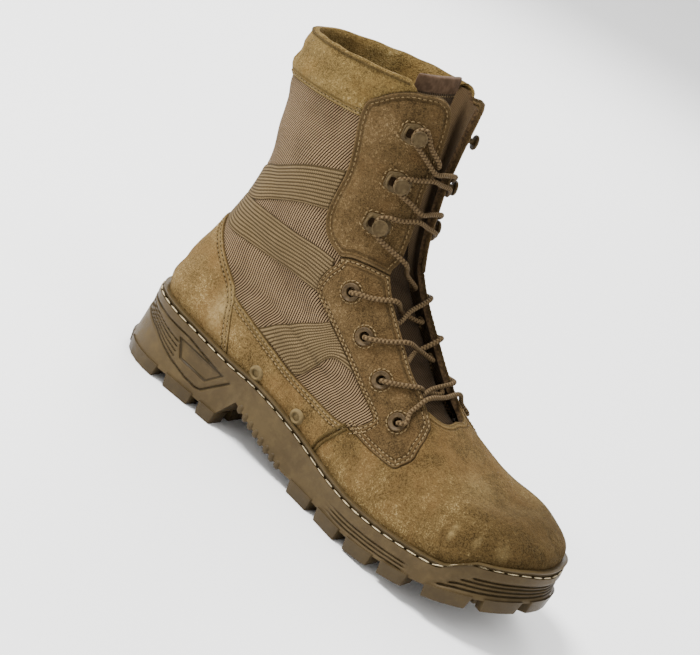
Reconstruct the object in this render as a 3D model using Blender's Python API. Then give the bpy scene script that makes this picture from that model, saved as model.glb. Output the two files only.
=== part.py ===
"""A high-laced hiking boot for the left foot, modelled in metres with +Z up.

The toe points along +X, the inner (medial) side faces -Y and the outer side faces +Y.
The upper is one hollow shell whose form comes from the SECTIONS of its last. Every overlay is a
flat pattern, cut in the last's own pattern grid and then wrapped round it at a small offset.
All sizes in the tables are millimetres, measured from the back of the heel and from the ground.
"""

import math

import bmesh
import bpy
import numpy as np
from mathutils import Matrix, Vector

MM = 0.001

# ---------------------------------------------------------------- driving sizes, in millimetres
SOLE_TIP = 302.0            # foremost point of the sole
TOE_SPRING = 25.5           # how far the sole's tip is lifted
SPRING_START = 190.0        # where the sole leaves the ground
SPRING_POWER = 1.7          # 1 is a straight ramp, more is a later curve
TOE_SWING = -8.0            # the toe tip leans this far towards the inner side
SWING_START = 170.0
SWING_POWER = 1.6
HEEL_FLOOR = 37.0           # height of the sole's inside floor at the back of the heel
FLOOR_DROPS = ((20, 85, 5.6), (92, 187, 14.6))      # from x, to x, how far the floor falls
LUG_DEPTH = 7.0
WALL = 2.4                  # leather, mesh and lining together
GAP = 0.3                   # between pieces that touch

# ---------------------------------------------------------------- the last
# One row for each section, from the feather edge up to the collar. A section is a slanted slice
# from a point on the back of the last to a point on its front. heel, waist and ball are half
# widths; back_round and front_round are the lengths of its rounded ends; follow says how closely
# the slice dips with the edge of the sole.
COLUMNS = (
    "name", "back_x", "back_z", "front_x", "front_z", "heel", "waist_in", "waist_out",
    "ball_in", "ball_out", "back_round", "front_round", "follow",
)
SECTION_ROWS = (
    ("feather", 7.0, 37.0, 291.0, 38.2, 30.5, 33.0, 37.0, 45.5, 49.5, 34, 52, 1.0),
    ("bulge", 4.0, 51.0, 295.5, 50.5, 33.0, 35.5, 40.0, 47.5, 51.5, 36, 50, 0.95),
    ("toe_wall", 5.0, 63.0, 293.0, 59.5, 33.5, 35.5, 40.5, 45.5, 49.0, 36, 48, 0.8),
    ("toe_top", 8.5, 76.0, 277.0, 65.5, 32.5, 34.5, 39.0, 39.5, 42.0, 35, 48, 0.6),
    ("vamp", 12.5, 88.0, 250.0, 66.5, 31.0, 33.5, 37.0, 34.5, 35.0, 35, 50, 0.4),
    ("throat", 17.0, 106.0, 206.0, 79.5, 29.0, 31.5, 34.0, 31.5, 30.5, 38, 60, 0.2),
    ("instep", 20.0, 124.0, 171.0, 103.0, 29.0, 32.0, 33.0, 31.0, 31.5, 46, 60, 0.0),
    ("ankle", 20.5, 144.0, 136.0, 135.0, 31.0, 34.0, 34.5, 32.5, 33.0, 50, 52, 0.0),
    ("shaft", 16.0, 169.0, 122.5, 174.0, 34.0, 36.5, 36.5, 34.0, 34.0, 48, 48, 0.0),
    ("cuff", 9.5, 191.0, 118.0, 204.0, 37.0, 39.0, 39.0, 36.5, 36.5, 50, 48, 0.0),
    ("collar", 8.5, 220.5, 115.0, 236.0, 39.0, 41.0, 43.0, 38.5, 40.5, 52, 48, 0.0),
)
SECTIONS = {name: np.array([row[i] for row in SECTION_ROWS], dtype=float)
            for i, name in enumerate(COLUMNS) if name != "name"}
HEEL_STATION, WAIST_STATION, BALL_STATION = 0.15, 0.45, 0.74
END_POWER = 2.15            # 2 is a round end, more is squarer


def smooth(t):
    """An eased step from 0 to 1."""
    t = np.clip(t, 0.0, 1.0)
    return t * t * (3 - 2 * t)


def eased(value, span):
    """An eased step from 0 to 1 over a span."""
    return smooth((value - span[0]) / (span[1] - span[0]))


def spring(x):
    """How far the ground side of the sole is lifted at x."""
    return TOE_SPRING * (np.maximum(x - SPRING_START, 0) / (SOLE_TIP - SPRING_START)) ** SPRING_POWER


def swing(x):
    """How far the centre line leans towards the inner side at x."""
    return TOE_SWING * (np.clip(x - SWING_START, 0, None) / (SOLE_TIP - SWING_START)) ** SWING_POWER


def feather_height(x):
    """Height of the sole's inside floor, where the upper starts."""
    fallen = sum(drop * eased(x, (start, end)) for start, end, drop in FLOOR_DROPS)
    return HEEL_FLOOR - fallen + spring(x)


def section_at(v):
    """Every size of the slice at v, from 0 at the feather edge to 1 at the collar."""
    place = v * (len(SECTION_ROWS) - 1)
    i = int(min(max(math.floor(place), 0), len(SECTION_ROWS) - 2))
    t = place - i
    found = {}
    for name, values in SECTIONS.items():
        before, a, b, after = (values[max(i - 1, 0)], values[i], values[i + 1],
                               values[min(i + 2, len(values) - 1)])
        slope_a = (b - before) / 2 if i > 0 else b - a
        slope_b = (after - a) / 2 if i + 2 < len(values) else b - a
        found[name] = ((2 * t**3 - 3 * t**2 + 1) * a + (t**3 - 2 * t**2 + t) * slope_a
                       + (3 * t**2 - 2 * t**3) * b + (t**3 - t**2) * slope_b)
    return found


def half_outline(sec, side, steps=160):
    """Points of one side of a slice, from the back centre to the front centre."""
    length = sec["front_x"] - sec["back_x"]
    s = (1 - np.cos(np.linspace(0, math.pi, steps))) / 2
    waist, ball = ((sec["waist_in"], sec["ball_in"]) if side < 0
                   else (sec["waist_out"], sec["ball_out"]))
    width = (sec["heel"]
             + (waist - sec["heel"]) * smooth((s - HEEL_STATION) / (WAIST_STATION - HEEL_STATION))
             + (ball - waist) * smooth((s - WAIST_STATION) / (BALL_STATION - WAIST_STATION)))
    back = np.clip(1 - s * length / sec["back_round"], 0, 1)
    front = np.clip(1 - (1 - s) * length / sec["front_round"], 0, 1)
    ends = ((1 - back**END_POWER) * (1 - front**END_POWER)) ** (1 / END_POWER)
    x = sec["back_x"] + length * s
    dip = feather_height(x) - (1 - s) * feather_height(sec["back_x"]) - s * feather_height(sec["front_x"])
    z = sec["back_z"] + (sec["front_z"] - sec["back_z"]) * s + sec["follow"] * dip
    return np.stack([x, side * width * ends + swing(x), z], axis=1)


def by_girth(points, q):
    """The points at the shares q of a line's own length."""
    run = np.concatenate([[0], np.cumsum(np.linalg.norm(np.diff(points, axis=0), axis=1))])
    return np.stack([np.interp(np.asarray(q) * run[-1], run, points[:, k]) for k in range(3)], axis=1)


# ---------------------------------------------------------------- the pattern grid
# The last's skin is unrolled into a flat grid, about 1 mm to a unit. Across, 0 is the front
# centre line and HALF_TURN the back one, less than 0 on the inner side. Up, 0 is the feather edge.
ACROSS = 13                 # facets from the back centre line to the front one
CROWDING = 0.5              # how much closer the columns stand at heel and toe
ROW_LINES = (0, 5, 11, 18, 26, 34, 42, 50, 58, 66, 75, 83, 91, 100)     # per cent of the height
HALF_TURN = 220.0
FULL_HEIGHT = 230.0
INSET = 0.22                # every overlay's outline is drawn in by this, so that neighbours part


def column_lines():
    """Pattern places of the columns, from the back over the inner side, front and outer side."""
    t = np.linspace(0, 1, ACROSS + 1)
    share = t - CROWDING * np.sin(2 * math.pi * t) / (2 * math.pi)
    half = HALF_TURN * (1 - share[::-1])
    return np.concatenate([-half[:0:-1], half])


COLUMN_LINES = column_lines()
ROWS = np.array(ROW_LINES) / 100 * FULL_HEIGHT


def last_grid():
    """The last's points and outward directions at every crossing of a row and a column."""
    points = np.zeros((len(ROWS), len(COLUMN_LINES), 3))
    for r, row in enumerate(ROWS):
        sec = section_at(row / FULL_HEIGHT)
        for side in (-1, 1):
            mine = COLUMN_LINES * side >= 0
            share = 1 - np.abs(COLUMN_LINES[mine]) / HALF_TURN
            points[r, mine] = by_girth(half_outline(sec, side), share)
    ring = points[:, :-1]
    along = np.roll(ring, -1, axis=1) - np.roll(ring, 1, axis=1)
    outward = np.cross(along, np.gradient(ring, axis=0))
    outward /= np.linalg.norm(outward, axis=2, keepdims=True)
    return points, np.concatenate([outward, outward[:, :1]], axis=1)


GRID_POINTS, GRID_OUTWARD = last_grid()


def wrap(flat):
    """Lay pattern points (across, up, out) on the last's triangular facets."""
    flat = np.atleast_2d(np.asarray(flat, dtype=float))
    across = (flat[:, 0] + HALF_TURN) % (2 * HALF_TURN) - HALF_TURN
    c = np.clip(np.searchsorted(COLUMN_LINES, across, "right") - 1, 0, len(COLUMN_LINES) - 2)
    r = np.clip(np.searchsorted(ROWS, flat[:, 1], "right") - 1, 0, len(ROWS) - 2)
    s = ((across - COLUMN_LINES[c]) / (COLUMN_LINES[c + 1] - COLUMN_LINES[c]))[:, None]
    t = ((flat[:, 1] - ROWS[r]) / (ROWS[r + 1] - ROWS[r]))[:, None]
    inner = (COLUMN_LINES[c] < 0)[:, None]
    found = []
    for grid in (GRID_POINTS, GRID_OUTWARD):
        low, low_next, up, up_next = grid[r, c], grid[r, c + 1], grid[r + 1, c], grid[r + 1, c + 1]
        rising = np.where(s >= t, low + s * (low_next - low) + t * (up_next - low_next),
                          low + t * (up - low) + s * (up_next - up))
        falling = np.where(s + t <= 1, low + s * (low_next - low) + t * (up - low),
                           up_next + (1 - s) * (up - up_next) + (1 - t) * (low_next - up_next))
        found.append(np.where(inner, rising, falling))
    return found[0] + found[1] * flat[:, 2:3]


def place(q, v, side, back_centred=False):
    """Pattern point of per cents q (back to front) and v (up) on one side."""
    across = side * HALF_TURN * (1 - q / 100)
    if back_centred:
        across = HALF_TURN * (1 - side * q / 100)
    return across, v / 100 * FULL_HEIGHT


def scale_across(across, up):
    """Millimetres to one pattern unit across."""
    around = wrap([(across - 2, up, 0), (across + 2, up, 0)])
    return np.linalg.norm(around[1] - around[0]) / 4


# ---------------------------------------------------------------- flat patterns
# Lines of (q, v) in per cent: q from the back centre to the front centre, v from the feather edge
# to the collar. Neighbours share a line, so their edges run side by side.
COUNTER_LINE = ((0, 47.5), (7.5, 46.3), (12, 43.8), (17.5, 38.8), (21, 33), (22.2, 28.5),
                (23.4, 20), (25, 10), (25.6, 1))
SADDLE_TOP = ((54.3, 24.9), (50, 22.9), (44.2, 21.8), (38.3, 21.4), (33.3, 23.2), (29.2, 25.5),
              (25, 27.5))
VAMP_SIDE = ((49.2, 1), (49.2, 7.5), (50.3, 15), (52.5, 21.5), (54.3, 24.9))
STAY_FOOT = ((55.8, 25.3), (60.8, 25.6), (64.2, 25.8), (67.2, 26.4), (69.2, 28.8), (80, 42),
             (85.8, 46.3), (89.2, 49))
LOW_FLAP_EDGE = ((90, 51.3), (90, 53.7), (88.3, 56.2), (87.5, 60), (86.7, 63.8), (86.3, 66.5),
                 (86.3, 69.1))
STAY_JOIN = ((81.7, 69.1), (75.8, 68.8), (68.3, 67.9))
LOW_STAY_BACK = ((63, 66), (59.2, 64), (55, 61.5), (51, 57.8), (49.5, 55), (52.5, 52.5),
                 (56.7, 48.9), (59.2, 46), (61, 42.5), (63.3, 38.6), (60, 32))
TOP_STAY_BACK = ((64, 66.9), (60, 67.5), (57, 69), (56.2, 71.3), (56.9, 73.8), (58.3, 76.3),
                 (60, 80), (60, 85), (59, 88.8), (58.3, 92))
TOP_STAY_SHOULDER = ((58.3, 94), (62.5, 96.3), (69.2, 98.6), (74, 99.5))
TOP_FLAP_EDGE = ((86, 99.5), (88.4, 98.6), (90.8, 96), (92.4, 91.3), (92.5, 80), (92.6, 75),
                 (90.5, 71.6), (86.6, 69.5))
CUFF_BOTTOM = ((58.3, 91.3), (37.5, 91.3), (24, 91.2), (12, 90.8), (0, 90))
BACKSTAY_LINE = ((0, 89.6), (4, 89.7), (4, 47.6), (0, 48.2))
WEB_START = 4.6             # where the straps come out from under the backstay
WEBS = {
    "ankle": ((WEB_START, 65.5), (8.3, 67.5), (25, 72.5), (45, 77.5), (60, 80), (58.3, 76.3),
              (56.9, 73.8), (56.4, 72.6), (42.5, 70), (23.3, 63.8), (13.5, 58.8),
              (WEB_START, 56.3)),
    "heel": ((WEB_START, 56.3), (13.5, 58.8), (25.8, 61.3), (42.5, 63.8), (53.3, 65.2),
             (60.6, 65.6), (59.2, 64), (55, 61.5), (51, 57.8), (49.5, 55), (38.3, 53.7),
             (30, 51.3), (20, 48.8), (11, 46.8), (WEB_START, 47.6)),
    "arch": ((29.2, 25.5), (38.3, 40), (54.2, 51), (56.7, 48.9), (59.2, 46), (60.2, 44.2),
             (55, 43.6), (39.5, 21.5), (38.3, 21.4), (33.3, 23.2)),
}
THROAT_BASE = ((100, 51), (94, 50.4))
THROAT_MOUTH = ((86, 100), (86, 112), (100, 112))
EYELETS = ((67.5, 62.5), (70.8, 56.2), (74.2, 50), (75, 43.8))
HOOKS = ((79.2, 75), (81.7, 82.5), (80.8, 92.5))
VENTS = ((32.5, 8.6), (43.3, 9.4))          # on the inner side only

# thickness of each overlay, in millimetres
VAMP_LEATHER = 1.2
COUNTER_LEATHER = 1.4
STAY_LEATHER = 1.8
WEBBING = 0.9
CUFF_PAD = 3.0
BACKSTAY = 0.8

# ---------------------------------------------------------------- sizes of the sole
SOLE_RUNGS = 22
PLATE = 3.0                 # outsole between its lugs and the midsole
WALL_OFFSET = 3.6           # from the last out to the inside of the sole's cup
TOP_TAPER = 1.5             # the sole's wall leans in by this up to its stitched line
STITCH_RISE = 4.0           # from the feather edge up to the stitched line
WAVE_ROWS = ((208, 0), (242, -1.5), (256, -2), (268, 6.6), (288, 6.6), (291, 5))     # x, extra rise
STITCH_GROOVE = 1.3         # between the side wall and the lip, where the stitches lie
LIP_RISE = 3.8              # from the stitched line up to the edge of the lip
LIP_THICKNESS = 1.5
RIB_DEPTH = 1.0
RIBBED_HEEL, RIBBED_TOE = (0.10, 0.13), (0.84, 0.87)        # shares where the ribs fade
RIB_STEPS = (0, 0.17, 0.34, 0.51, 0.68, 1)          # the second and fourth lie in grooves
FLARE_ROWS = ((0, 10), (10, 8.5), (35, 7), (60, 7), (85, 8.5), (100, 12))  # share q, flare
BREAST_STATIONS = (86, 95, 105, 115, 125, 134, 142, 150)
BREAST_RISE = 15.0          # from the heel's plate up to the top of the arch
ARCH_POWER = 0.85
SKIN_REACH = 0.3            # share of the last's height that the sole's inside follows
CUP_DEPTH = 1.0             # from the feather edge down to the floor of the cup
WELT_FOOT = 2.1             # width of the lip where it stands on the side wall
INSOLE_THICKNESS = 4.0
INSOLE_PLAY = 1.2           # between the insole's edge and the lining
LUG_REACH = 1.3             # how far a lug runs up into its plate
LUG_PROUD = 1.0             # how far the edge lugs stand out of the wall
LUG_TAPER = 0.9


def flare(q):
    """How far the sole stands out from the feather edge at the share q."""
    rows = np.array(FLARE_ROWS, dtype=float)
    return np.interp(np.asarray(q) * 100, rows[:, 0], rows[:, 1])


def plate_bottom(x):
    """Underside of the outsole's plate: heel, breast, falling arch and forefoot."""
    back, crest, front = BREAST_STATIONS[0], BREAST_STATIONS[1], BREAST_STATIONS[-2]
    arch = 1 - np.clip((x - crest) / (front - crest), 0, 1) ** ARCH_POWER
    return LUG_DEPTH + BREAST_RISE * np.clip((x - back) / (crest - back), 0, 1) * arch + spring(x)


def stitch_height(x):
    """The stitched line round the sole, with its wave over the toe bumper."""
    wave = np.interp(x, *zip(*WAVE_ROWS))
    return feather_height(x) + STITCH_RISE + wave


# ---------------------------------------------------------------- making solids
CUT = 20.0                  # half the height of a cutter
SHARP = 38.0                # degrees between faces that stay a sharp edge
COLOURS = {
    "rubber": ((0.085, 0.062, 0.036), 0.75, 0.0),
    "rubber_side": ((0.105, 0.078, 0.045), 0.7, 0.0),
    "suede": ((0.235, 0.145, 0.062), 0.95, 0.0),
    "suede_dark": ((0.17, 0.105, 0.052), 0.95, 0.0),
    "cordura": ((0.115, 0.075, 0.05), 0.9, 0.0),
    "webbing": ((0.12, 0.09, 0.045), 0.9, 0.0),
    "tongue": ((0.1, 0.065, 0.042), 0.85, 0.0),
    "lining": ((0.2, 0.14, 0.07), 0.9, 0.0),
    "lace": ((0.13, 0.085, 0.042), 0.85, 0.0),
    "painted_brass": ((0.12, 0.085, 0.05), 0.4, 0.85),
}


def material(name):
    colour, roughness, metallic = COLOURS[name]
    made = bpy.data.materials.get(name) or bpy.data.materials.new(name)
    made.use_nodes = True
    shader = made.node_tree.nodes["Principled BSDF"]
    shader.inputs["Base Color"].default_value = (*colour, 1.0)
    shader.inputs["Roughness"].default_value = roughness
    shader.inputs["Metallic"].default_value = metallic
    return made


def face_outwards(work):
    """Turn a closed mesh's faces so that they point out of it."""
    bmesh.ops.recalc_face_normals(work, faces=work.faces)
    if work.calc_volume(signed=True) < 0:
        bmesh.ops.reverse_faces(work, faces=work.faces)


def raw_object(name, points, faces):
    """An object straight from its points and faces, its faces turned outwards."""
    mesh = bpy.data.meshes.new(name)
    mesh.from_pydata([tuple(map(float, p)) for p in points], [], faces)
    work = bmesh.new()
    work.from_mesh(mesh)
    face_outwards(work)
    work.to_mesh(mesh)
    work.free()
    made = bpy.data.objects.new(name, mesh)
    bpy.context.scene.collection.objects.link(made)
    return made


def finish(made, look):
    """From millimetres to metres, with smooth shading and the piece's own material."""
    mesh = made.data
    mesh.transform(Matrix.Scale(MM, 4))
    mesh.materials.clear()
    mesh.materials.append(material(look))
    mesh.shade_smooth()
    mesh.set_sharp_from_angle(angle=math.radians(SHARP))
    return made


def combine(base, other, operation):
    """Cut, join or intersect base with other, which is used up."""
    step = base.modifiers.new("step", "BOOLEAN")
    step.operation = operation
    step.solver = "EXACT"
    step.object = other
    bpy.context.view_layer.update()
    depsgraph = bpy.context.evaluated_depsgraph_get()
    result = bpy.data.meshes.new_from_object(base.evaluated_get(depsgraph))
    base.modifiers.clear()
    base.data = result
    bpy.data.objects.remove(other)
    return base


def prism(outline, low=-CUT, high=CUT, name="prism"):
    """A straight solid over a flat outline, deep enough to cut right through by default."""
    n = len(outline)
    points = [(x, y, low) for x, y in outline] + [(x, y, high) for x, y in outline]
    faces = [tuple(range(n))[::-1], tuple(range(n, 2 * n))]
    faces += [(i, (i + 1) % n, n + (i + 1) % n, n + i) for i in range(n)]
    return raw_object(name, points, faces)


def inset(outline, distance):
    """The outline drawn in by a distance, whichever way it runs."""
    points = np.array(outline, dtype=float)
    ahead = np.roll(points, -1, axis=0)
    area = np.sum(points[:, 0] * ahead[:, 1] - ahead[:, 0] * points[:, 1])
    direction = ahead - points
    direction /= np.linalg.norm(direction, axis=1, keepdims=True)
    normal = np.stack([-direction[:, 1], direction[:, 0]], axis=1) * np.sign(area)
    before = np.roll(normal, 1, axis=0)
    mitre = normal + before
    mitre *= (2 / np.maximum(np.sum(mitre * mitre, axis=1, keepdims=True), 0.9))
    return points + mitre * distance


def flat_sheet(low, high, back_centred=False):
    """The whole pattern grid as a slab between two offsets."""
    columns = COLUMN_LINES
    if back_centred:
        columns = np.concatenate([COLUMN_LINES[ACROSS:], COLUMN_LINES[1:ACROSS + 1] + 2 * HALF_TURN])
    across, up = len(columns), len(ROWS)
    points = [(a, b, h) for h in (low, high) for b in ROWS for a in columns]
    layer = across * up
    faces = []
    for r in range(up - 1):
        for c in range(across - 1):
            a, b = r * across + c, r * across + c + 1
            d, e = a + across, b + across
            middle = (columns[c] + columns[c + 1]) / 2
            inner = middle < 0 or middle > HALF_TURN
            halves = ((a, b, e), (a, e, d)) if inner else ((a, b, d), (b, e, d))
            for half in halves:
                faces.append(half[::-1])
                faces.append(tuple(i + layer for i in half))
    rim = ([(c, c + 1) for c in range(across - 1)]
           + [(layer - across + c, layer - across + c + 1) for c in range(across - 1)]
           + [(r * across, (r + 1) * across) for r in range(up - 1)]
           + [(r * across + across - 1, (r + 2) * across - 1) for r in range(up - 1)])
    faces += [(i, j, j + layer, i + layer) for i, j in rim]
    return raw_object("sheet", points, faces)


def hole(q, v, side, radius, sides=6):
    """A prism that cuts a round hole where the pattern is laid on the last."""
    across, up = place(q, v, side)
    around = wrap([(across - 2, up, 0), (across + 2, up, 0)])
    rise = wrap([(across, up - 2, 0), (across, up + 2, 0)])
    slopes = np.stack([around[1] - around[0], rise[1] - rise[0]], axis=1) / 4
    to_pattern = np.linalg.pinv(slopes)
    first = slopes[:, 0] / np.linalg.norm(slopes[:, 0])
    second = np.cross(np.cross(first, slopes[:, 1]), first)
    second /= np.linalg.norm(second)
    centre = np.array((across, up))
    ring = []
    for i in range(sides):
        turn = 2 * math.pi * (i + 0.5) / sides
        ring.append(centre + to_pattern @ (radius * (math.cos(turn) * first + math.sin(turn) * second)))
    return prism(ring)


def lay(made, weld=False):
    """Wrap a flat piece round the last; weld closes the seam down the back."""
    work = bmesh.new()
    work.from_mesh(made.data)
    bmesh.ops.dissolve_degenerate(work, edges=work.edges, dist=0.003)
    if weld:
        ends = [f for f in work.faces
                if all(abs(abs(v.co.x) - HALF_TURN) < 1e-3 for v in f.verts)]
        bmesh.ops.delete(work, geom=ends, context="FACES")
    bmesh.ops.triangulate(work, faces=work.faces)
    work.verts.ensure_lookup_table()
    laid = wrap([tuple(v.co) for v in work.verts])
    for vertex, point in zip(work.verts, laid):
        vertex.co = point
    if weld:
        open_ends = [v for v in work.verts if v.is_boundary]
        bmesh.ops.remove_doubles(work, verts=open_ends, dist=1e-3)
    face_outwards(work)
    work.to_mesh(made.data)
    work.free()
    return made


def overlay(name, outline, thickness, look, holes=(), back_centred=False):
    """A flat pattern cut from the grid and laid round the last, GAP outside the upper."""
    sheet = flat_sheet(GAP, GAP + thickness, back_centred)
    cutter = prism(inset(outline, INSET))
    combine(sheet, cutter, "INTERSECT")
    for tool in holes:
        combine(sheet, tool, "DIFFERENCE")
    lay(sheet)
    sheet.name = name
    return finish(sheet, look)


def one_side(line, side):
    """A line of per cents as pattern points of one side."""
    return [place(q, v, side) for q, v in line]


def both_sides(line, back_centred=False):
    """A half outline from centre line to centre line, closed by its mirror image."""
    near = [place(q, v, -1, back_centred) for q, v in line]
    far = [place(q, v, 1, back_centred) for q, v in line]
    middle = place(0 if back_centred else 100, 0, 1, back_centred)[0]
    return near + [p for p in far[::-1] if abs(p[0] - middle) > 1e-6]


# ---------------------------------------------------------------- the upper and what lies on it
EYELET_HOLE = 4.2
VENT_HOLE = 3.3


def eyelet_holes(side):
    return [hole(q, v, side, EYELET_HOLE) for q, v in EYELETS]


def vent_holes():
    return [hole(q, v, -1, VENT_HOLE) for q, v in VENTS]


def make_upper():
    """The whole shell with its throat slot, eyelet holes and vents."""
    shell = flat_sheet(-WALL, 0)
    throat = THROAT_BASE + LOW_FLAP_EDGE[:-1] + TOP_FLAP_EDGE[:0:-1] + THROAT_MOUTH
    combine(shell, prism(both_sides(throat)), "DIFFERENCE")
    for tool in eyelet_holes(-1) + eyelet_holes(1) + vent_holes():
        combine(shell, tool, "DIFFERENCE")
    lay(shell, weld=True)
    shell.name = "upper"
    return finish(shell, "cordura")


def make_overlays():
    vamp = THROAT_BASE + STAY_FOOT[::-1] + VAMP_SIDE[::-1] + ((100, 1),)
    overlay("vamp", both_sides(vamp), VAMP_LEATHER, "suede")
    counter = COUNTER_LINE + ((0, 1),)
    overlay("counter", both_sides(counter, True), COUNTER_LEATHER, "suede", (), True)
    cuff = ((0, 99.5),) + TOP_STAY_SHOULDER[::-1] + CUFF_BOTTOM
    overlay("cuff", both_sides(cuff, True), CUFF_PAD, "suede", (), True)
    overlay("backstay", both_sides(BACKSTAY_LINE, True), BACKSTAY, "suede_dark", (), True)
    saddle = COUNTER_LINE[5:] + VAMP_SIDE + SADDLE_TOP[1:]
    low_stay = STAY_FOOT + LOW_FLAP_EDGE + STAY_JOIN + LOW_STAY_BACK
    top_stay = TOP_STAY_BACK + TOP_STAY_SHOULDER + TOP_FLAP_EDGE + STAY_JOIN
    for side, where in ((-1, "in"), (1, "out")):
        overlay("saddle_" + where, one_side(saddle, side), VAMP_LEATHER, "suede",
                vent_holes() if side < 0 else ())
        overlay("eyestay_low_" + where, one_side(low_stay, side), STAY_LEATHER, "suede_dark",
                eyelet_holes(side))
        overlay("eyestay_top_" + where, one_side(top_stay, side), STAY_LEATHER, "suede_dark")
        for name, line in WEBS.items():
            overlay(f"webbing_{name}_{where}", one_side(line, side), WEBBING, "webbing")


# ---------------------------------------------------------------- tongue and insole
TONGUE_ROWS = (             # per cent of the height, half width
    (46.5, 29), (51, 29), (56, 29), (62, 29), (68, 29), (75, 29), (83, 29.5), (91, 31), (97, 34),
    (101, 36),
)
TONGUE_THICKNESS = 3.6
TONGUE_OFFSET = WALL + 1.6
TONGUE_LEAN = 15.0          # how far its top stands back from the collar's front
LEAN_SPAN = (74, 104)       # per cent of the height over which it leans
FLAT_HALF = 16.0            # the laces press the tongue flat over this half width
PRESSED = 2.5               # and this far below the flaps' edges
PRESSED_SPAN = (42, 58)


def skin_solid(name, outer, inner):
    """A closed solid between two matching grids of points."""
    rows, across = outer.shape[:2]
    points = list(outer.reshape(-1, 3)) + list(inner.reshape(-1, 3))
    layer = rows * across
    faces = []
    for r in range(rows - 1):
        for c in range(across - 1):
            a = r * across + c
            faces.append((a, a + 1, a + across + 1, a + across))
            faces.append(tuple(i + layer for i in (a, a + across, a + across + 1, a + 1)))
    rim = ([(c, c + 1) for c in range(across - 1)]
           + [(layer - across + c, layer - across + c + 1) for c in range(across - 1)]
           + [(r * across, (r + 1) * across) for r in range(rows - 1)]
           + [(r * across + across - 1, (r + 2) * across - 1) for r in range(rows - 1)])
    faces += [(i, j, j + layer, i + layer) for i, j in rim]
    return raw_object(name, points, faces)


def make_tongue():
    """A padded strip under the flaps, pressed flat by the laces, its top leaning back."""
    shares = np.linspace(-1, 1, 7)
    outer, inner = [], []
    for row, half in TONGUE_ROWS:
        up = row / 100 * FULL_HEIGHT
        wide = scale_across(0, min(up, ROWS[-1]))
        centre, nose = wrap([(0, up, 0), (0, up, 1)])
        forward = nose - centre
        pressed = centre - wrap([(-FLAT_HALF / wide, up, 0), (FLAT_HALF / wide, up, 0)]).mean(axis=0)
        dip = (float(pressed @ forward) + PRESSED) * eased(row, PRESSED_SPAN)
        lean = TONGUE_LEAN * eased(row, LEAN_SPAN)
        for layer, depth in ((outer, TONGUE_OFFSET), (inner, TONGUE_OFFSET + TONGUE_THICKNESS)):
            line = wrap([(s * half / wide, up, -depth) for s in shares])
            layer.append(line - forward * (dip * (1 - shares**2) + lean)[:, None])
    return finish(skin_solid("tongue", np.array(outer), np.array(inner)), "tongue")


# ---------------------------------------------------------------- the sole
def stations():
    """Distances from the heel of the sole's rungs, closer at its round ends."""
    back, front = SECTIONS["back_x"][0], SECTIONS["front_x"][0]
    round_spaced = back + (front - back) * (1 - np.cos(np.linspace(0, math.pi, SOLE_RUNGS + 1))) / 2
    clear = [x for x in round_spaced if min(abs(x - b) for b in BREAST_STATIONS) > 7]
    return np.array(sorted(clear + list(BREAST_STATIONS)))


STATIONS = stations()


def edge_line(side):
    """The feather edge of one side, finely, with the share of its length at each point."""
    line = half_outline(section_at(0.0), side, 600)
    run = np.concatenate([[0], np.cumsum(np.linalg.norm(np.diff(line, axis=0), axis=1))])
    return line, run / run[-1]


def rim(q, side, inward=0.0):
    """A ground plan point of the sole's outline at the share q, moved inward."""
    line, shares = edge_line(side)
    near = np.stack([np.interp([q - 0.004, q, q + 0.004], shares, line[:, k]) for k in (0, 1)], axis=1)
    step = near[2] - near[0]
    step /= np.linalg.norm(step)
    outward = side * np.array([-step[1], step[0]])
    if q <= 0 or q >= 1:
        outward = np.array([-1.0 if q <= 0 else 1.0, 0.0])
    return near[1] + outward * (flare(q) - inward)


def share_at(x, side):
    line, shares = edge_line(side)
    return float(np.interp(x, line[:, 0], shares))


def sole_columns():
    """(station x, share q, side) round the sole: heel, inner side, toe, outer side."""
    inner = [(x, share_at(x, -1), -1) for x in STATIONS]
    outer = [(x, share_at(x, 1), 1) for x in STATIONS[1:-1]]
    return inner + outer[::-1]


COLUMNS_ROUND = sole_columns()


def ground_ring(height, inward=0.0):
    """A ring round the sole's outline. height takes x there and x of the rung; inward takes q."""
    ring = []
    for x, q, side in COLUMNS_ROUND:
        plan = rim(q, side, inward(q) if callable(inward) else inward)
        ring.append((plan[0], plan[1], height(plan[0], x)))
    return ring


def last_ring(height, offset):
    """A ring at an offset from the last's skin, at the height given for each rung's x."""
    ring = []
    low_rows = ROWS[ROWS <= SKIN_REACH * FULL_HEIGHT]
    for x, q, side in COLUMNS_ROUND:
        across = side * HALF_TURN * (1 - q)
        skin = wrap([(across, up, offset) for up in low_rows])
        level = height(x)
        plan = [np.interp(level, skin[:, 2], skin[:, k]) for k in (0, 1)]
        ring.append((plan[0], plan[1], level))
    return ring


def ladder(ring_start, count):
    """Faces that close a ring with rungs from its inner to its outer side."""
    half = count // 2
    at = [ring_start + i for i in range(count)]
    faces = [(at[0], at[1], at[-1]), (at[half - 1], at[half], at[half + 1])]
    faces += [(at[i], at[i + 1], at[count - i - 1], at[count - i]) for i in range(1, half - 1)]
    return faces


def loft(name, rings, closed=False):
    """A solid through a stack of rings, capped by ladders, or closed on itself like a tyre."""
    count = len(rings[0])
    points = [p for ring in rings for p in ring]
    faces = []
    steps = len(rings) if closed else len(rings) - 1
    for r in range(steps):
        low, high = r * count, ((r + 1) % len(rings)) * count
        faces += [(low + i, low + (i + 1) % count, high + (i + 1) % count, high + i)
                  for i in range(count)]
    if not closed:
        faces += ladder(0, count) + ladder((len(rings) - 1) * count, count)
    return raw_object(name, points, faces)


def ribbed(q):
    """1 where the wall is ribbed, round the toe and the back of the heel, and 0 elsewhere."""
    return float(max(eased(q, RIBBED_TOE), 1 - eased(q, RIBBED_HEEL)))


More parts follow.
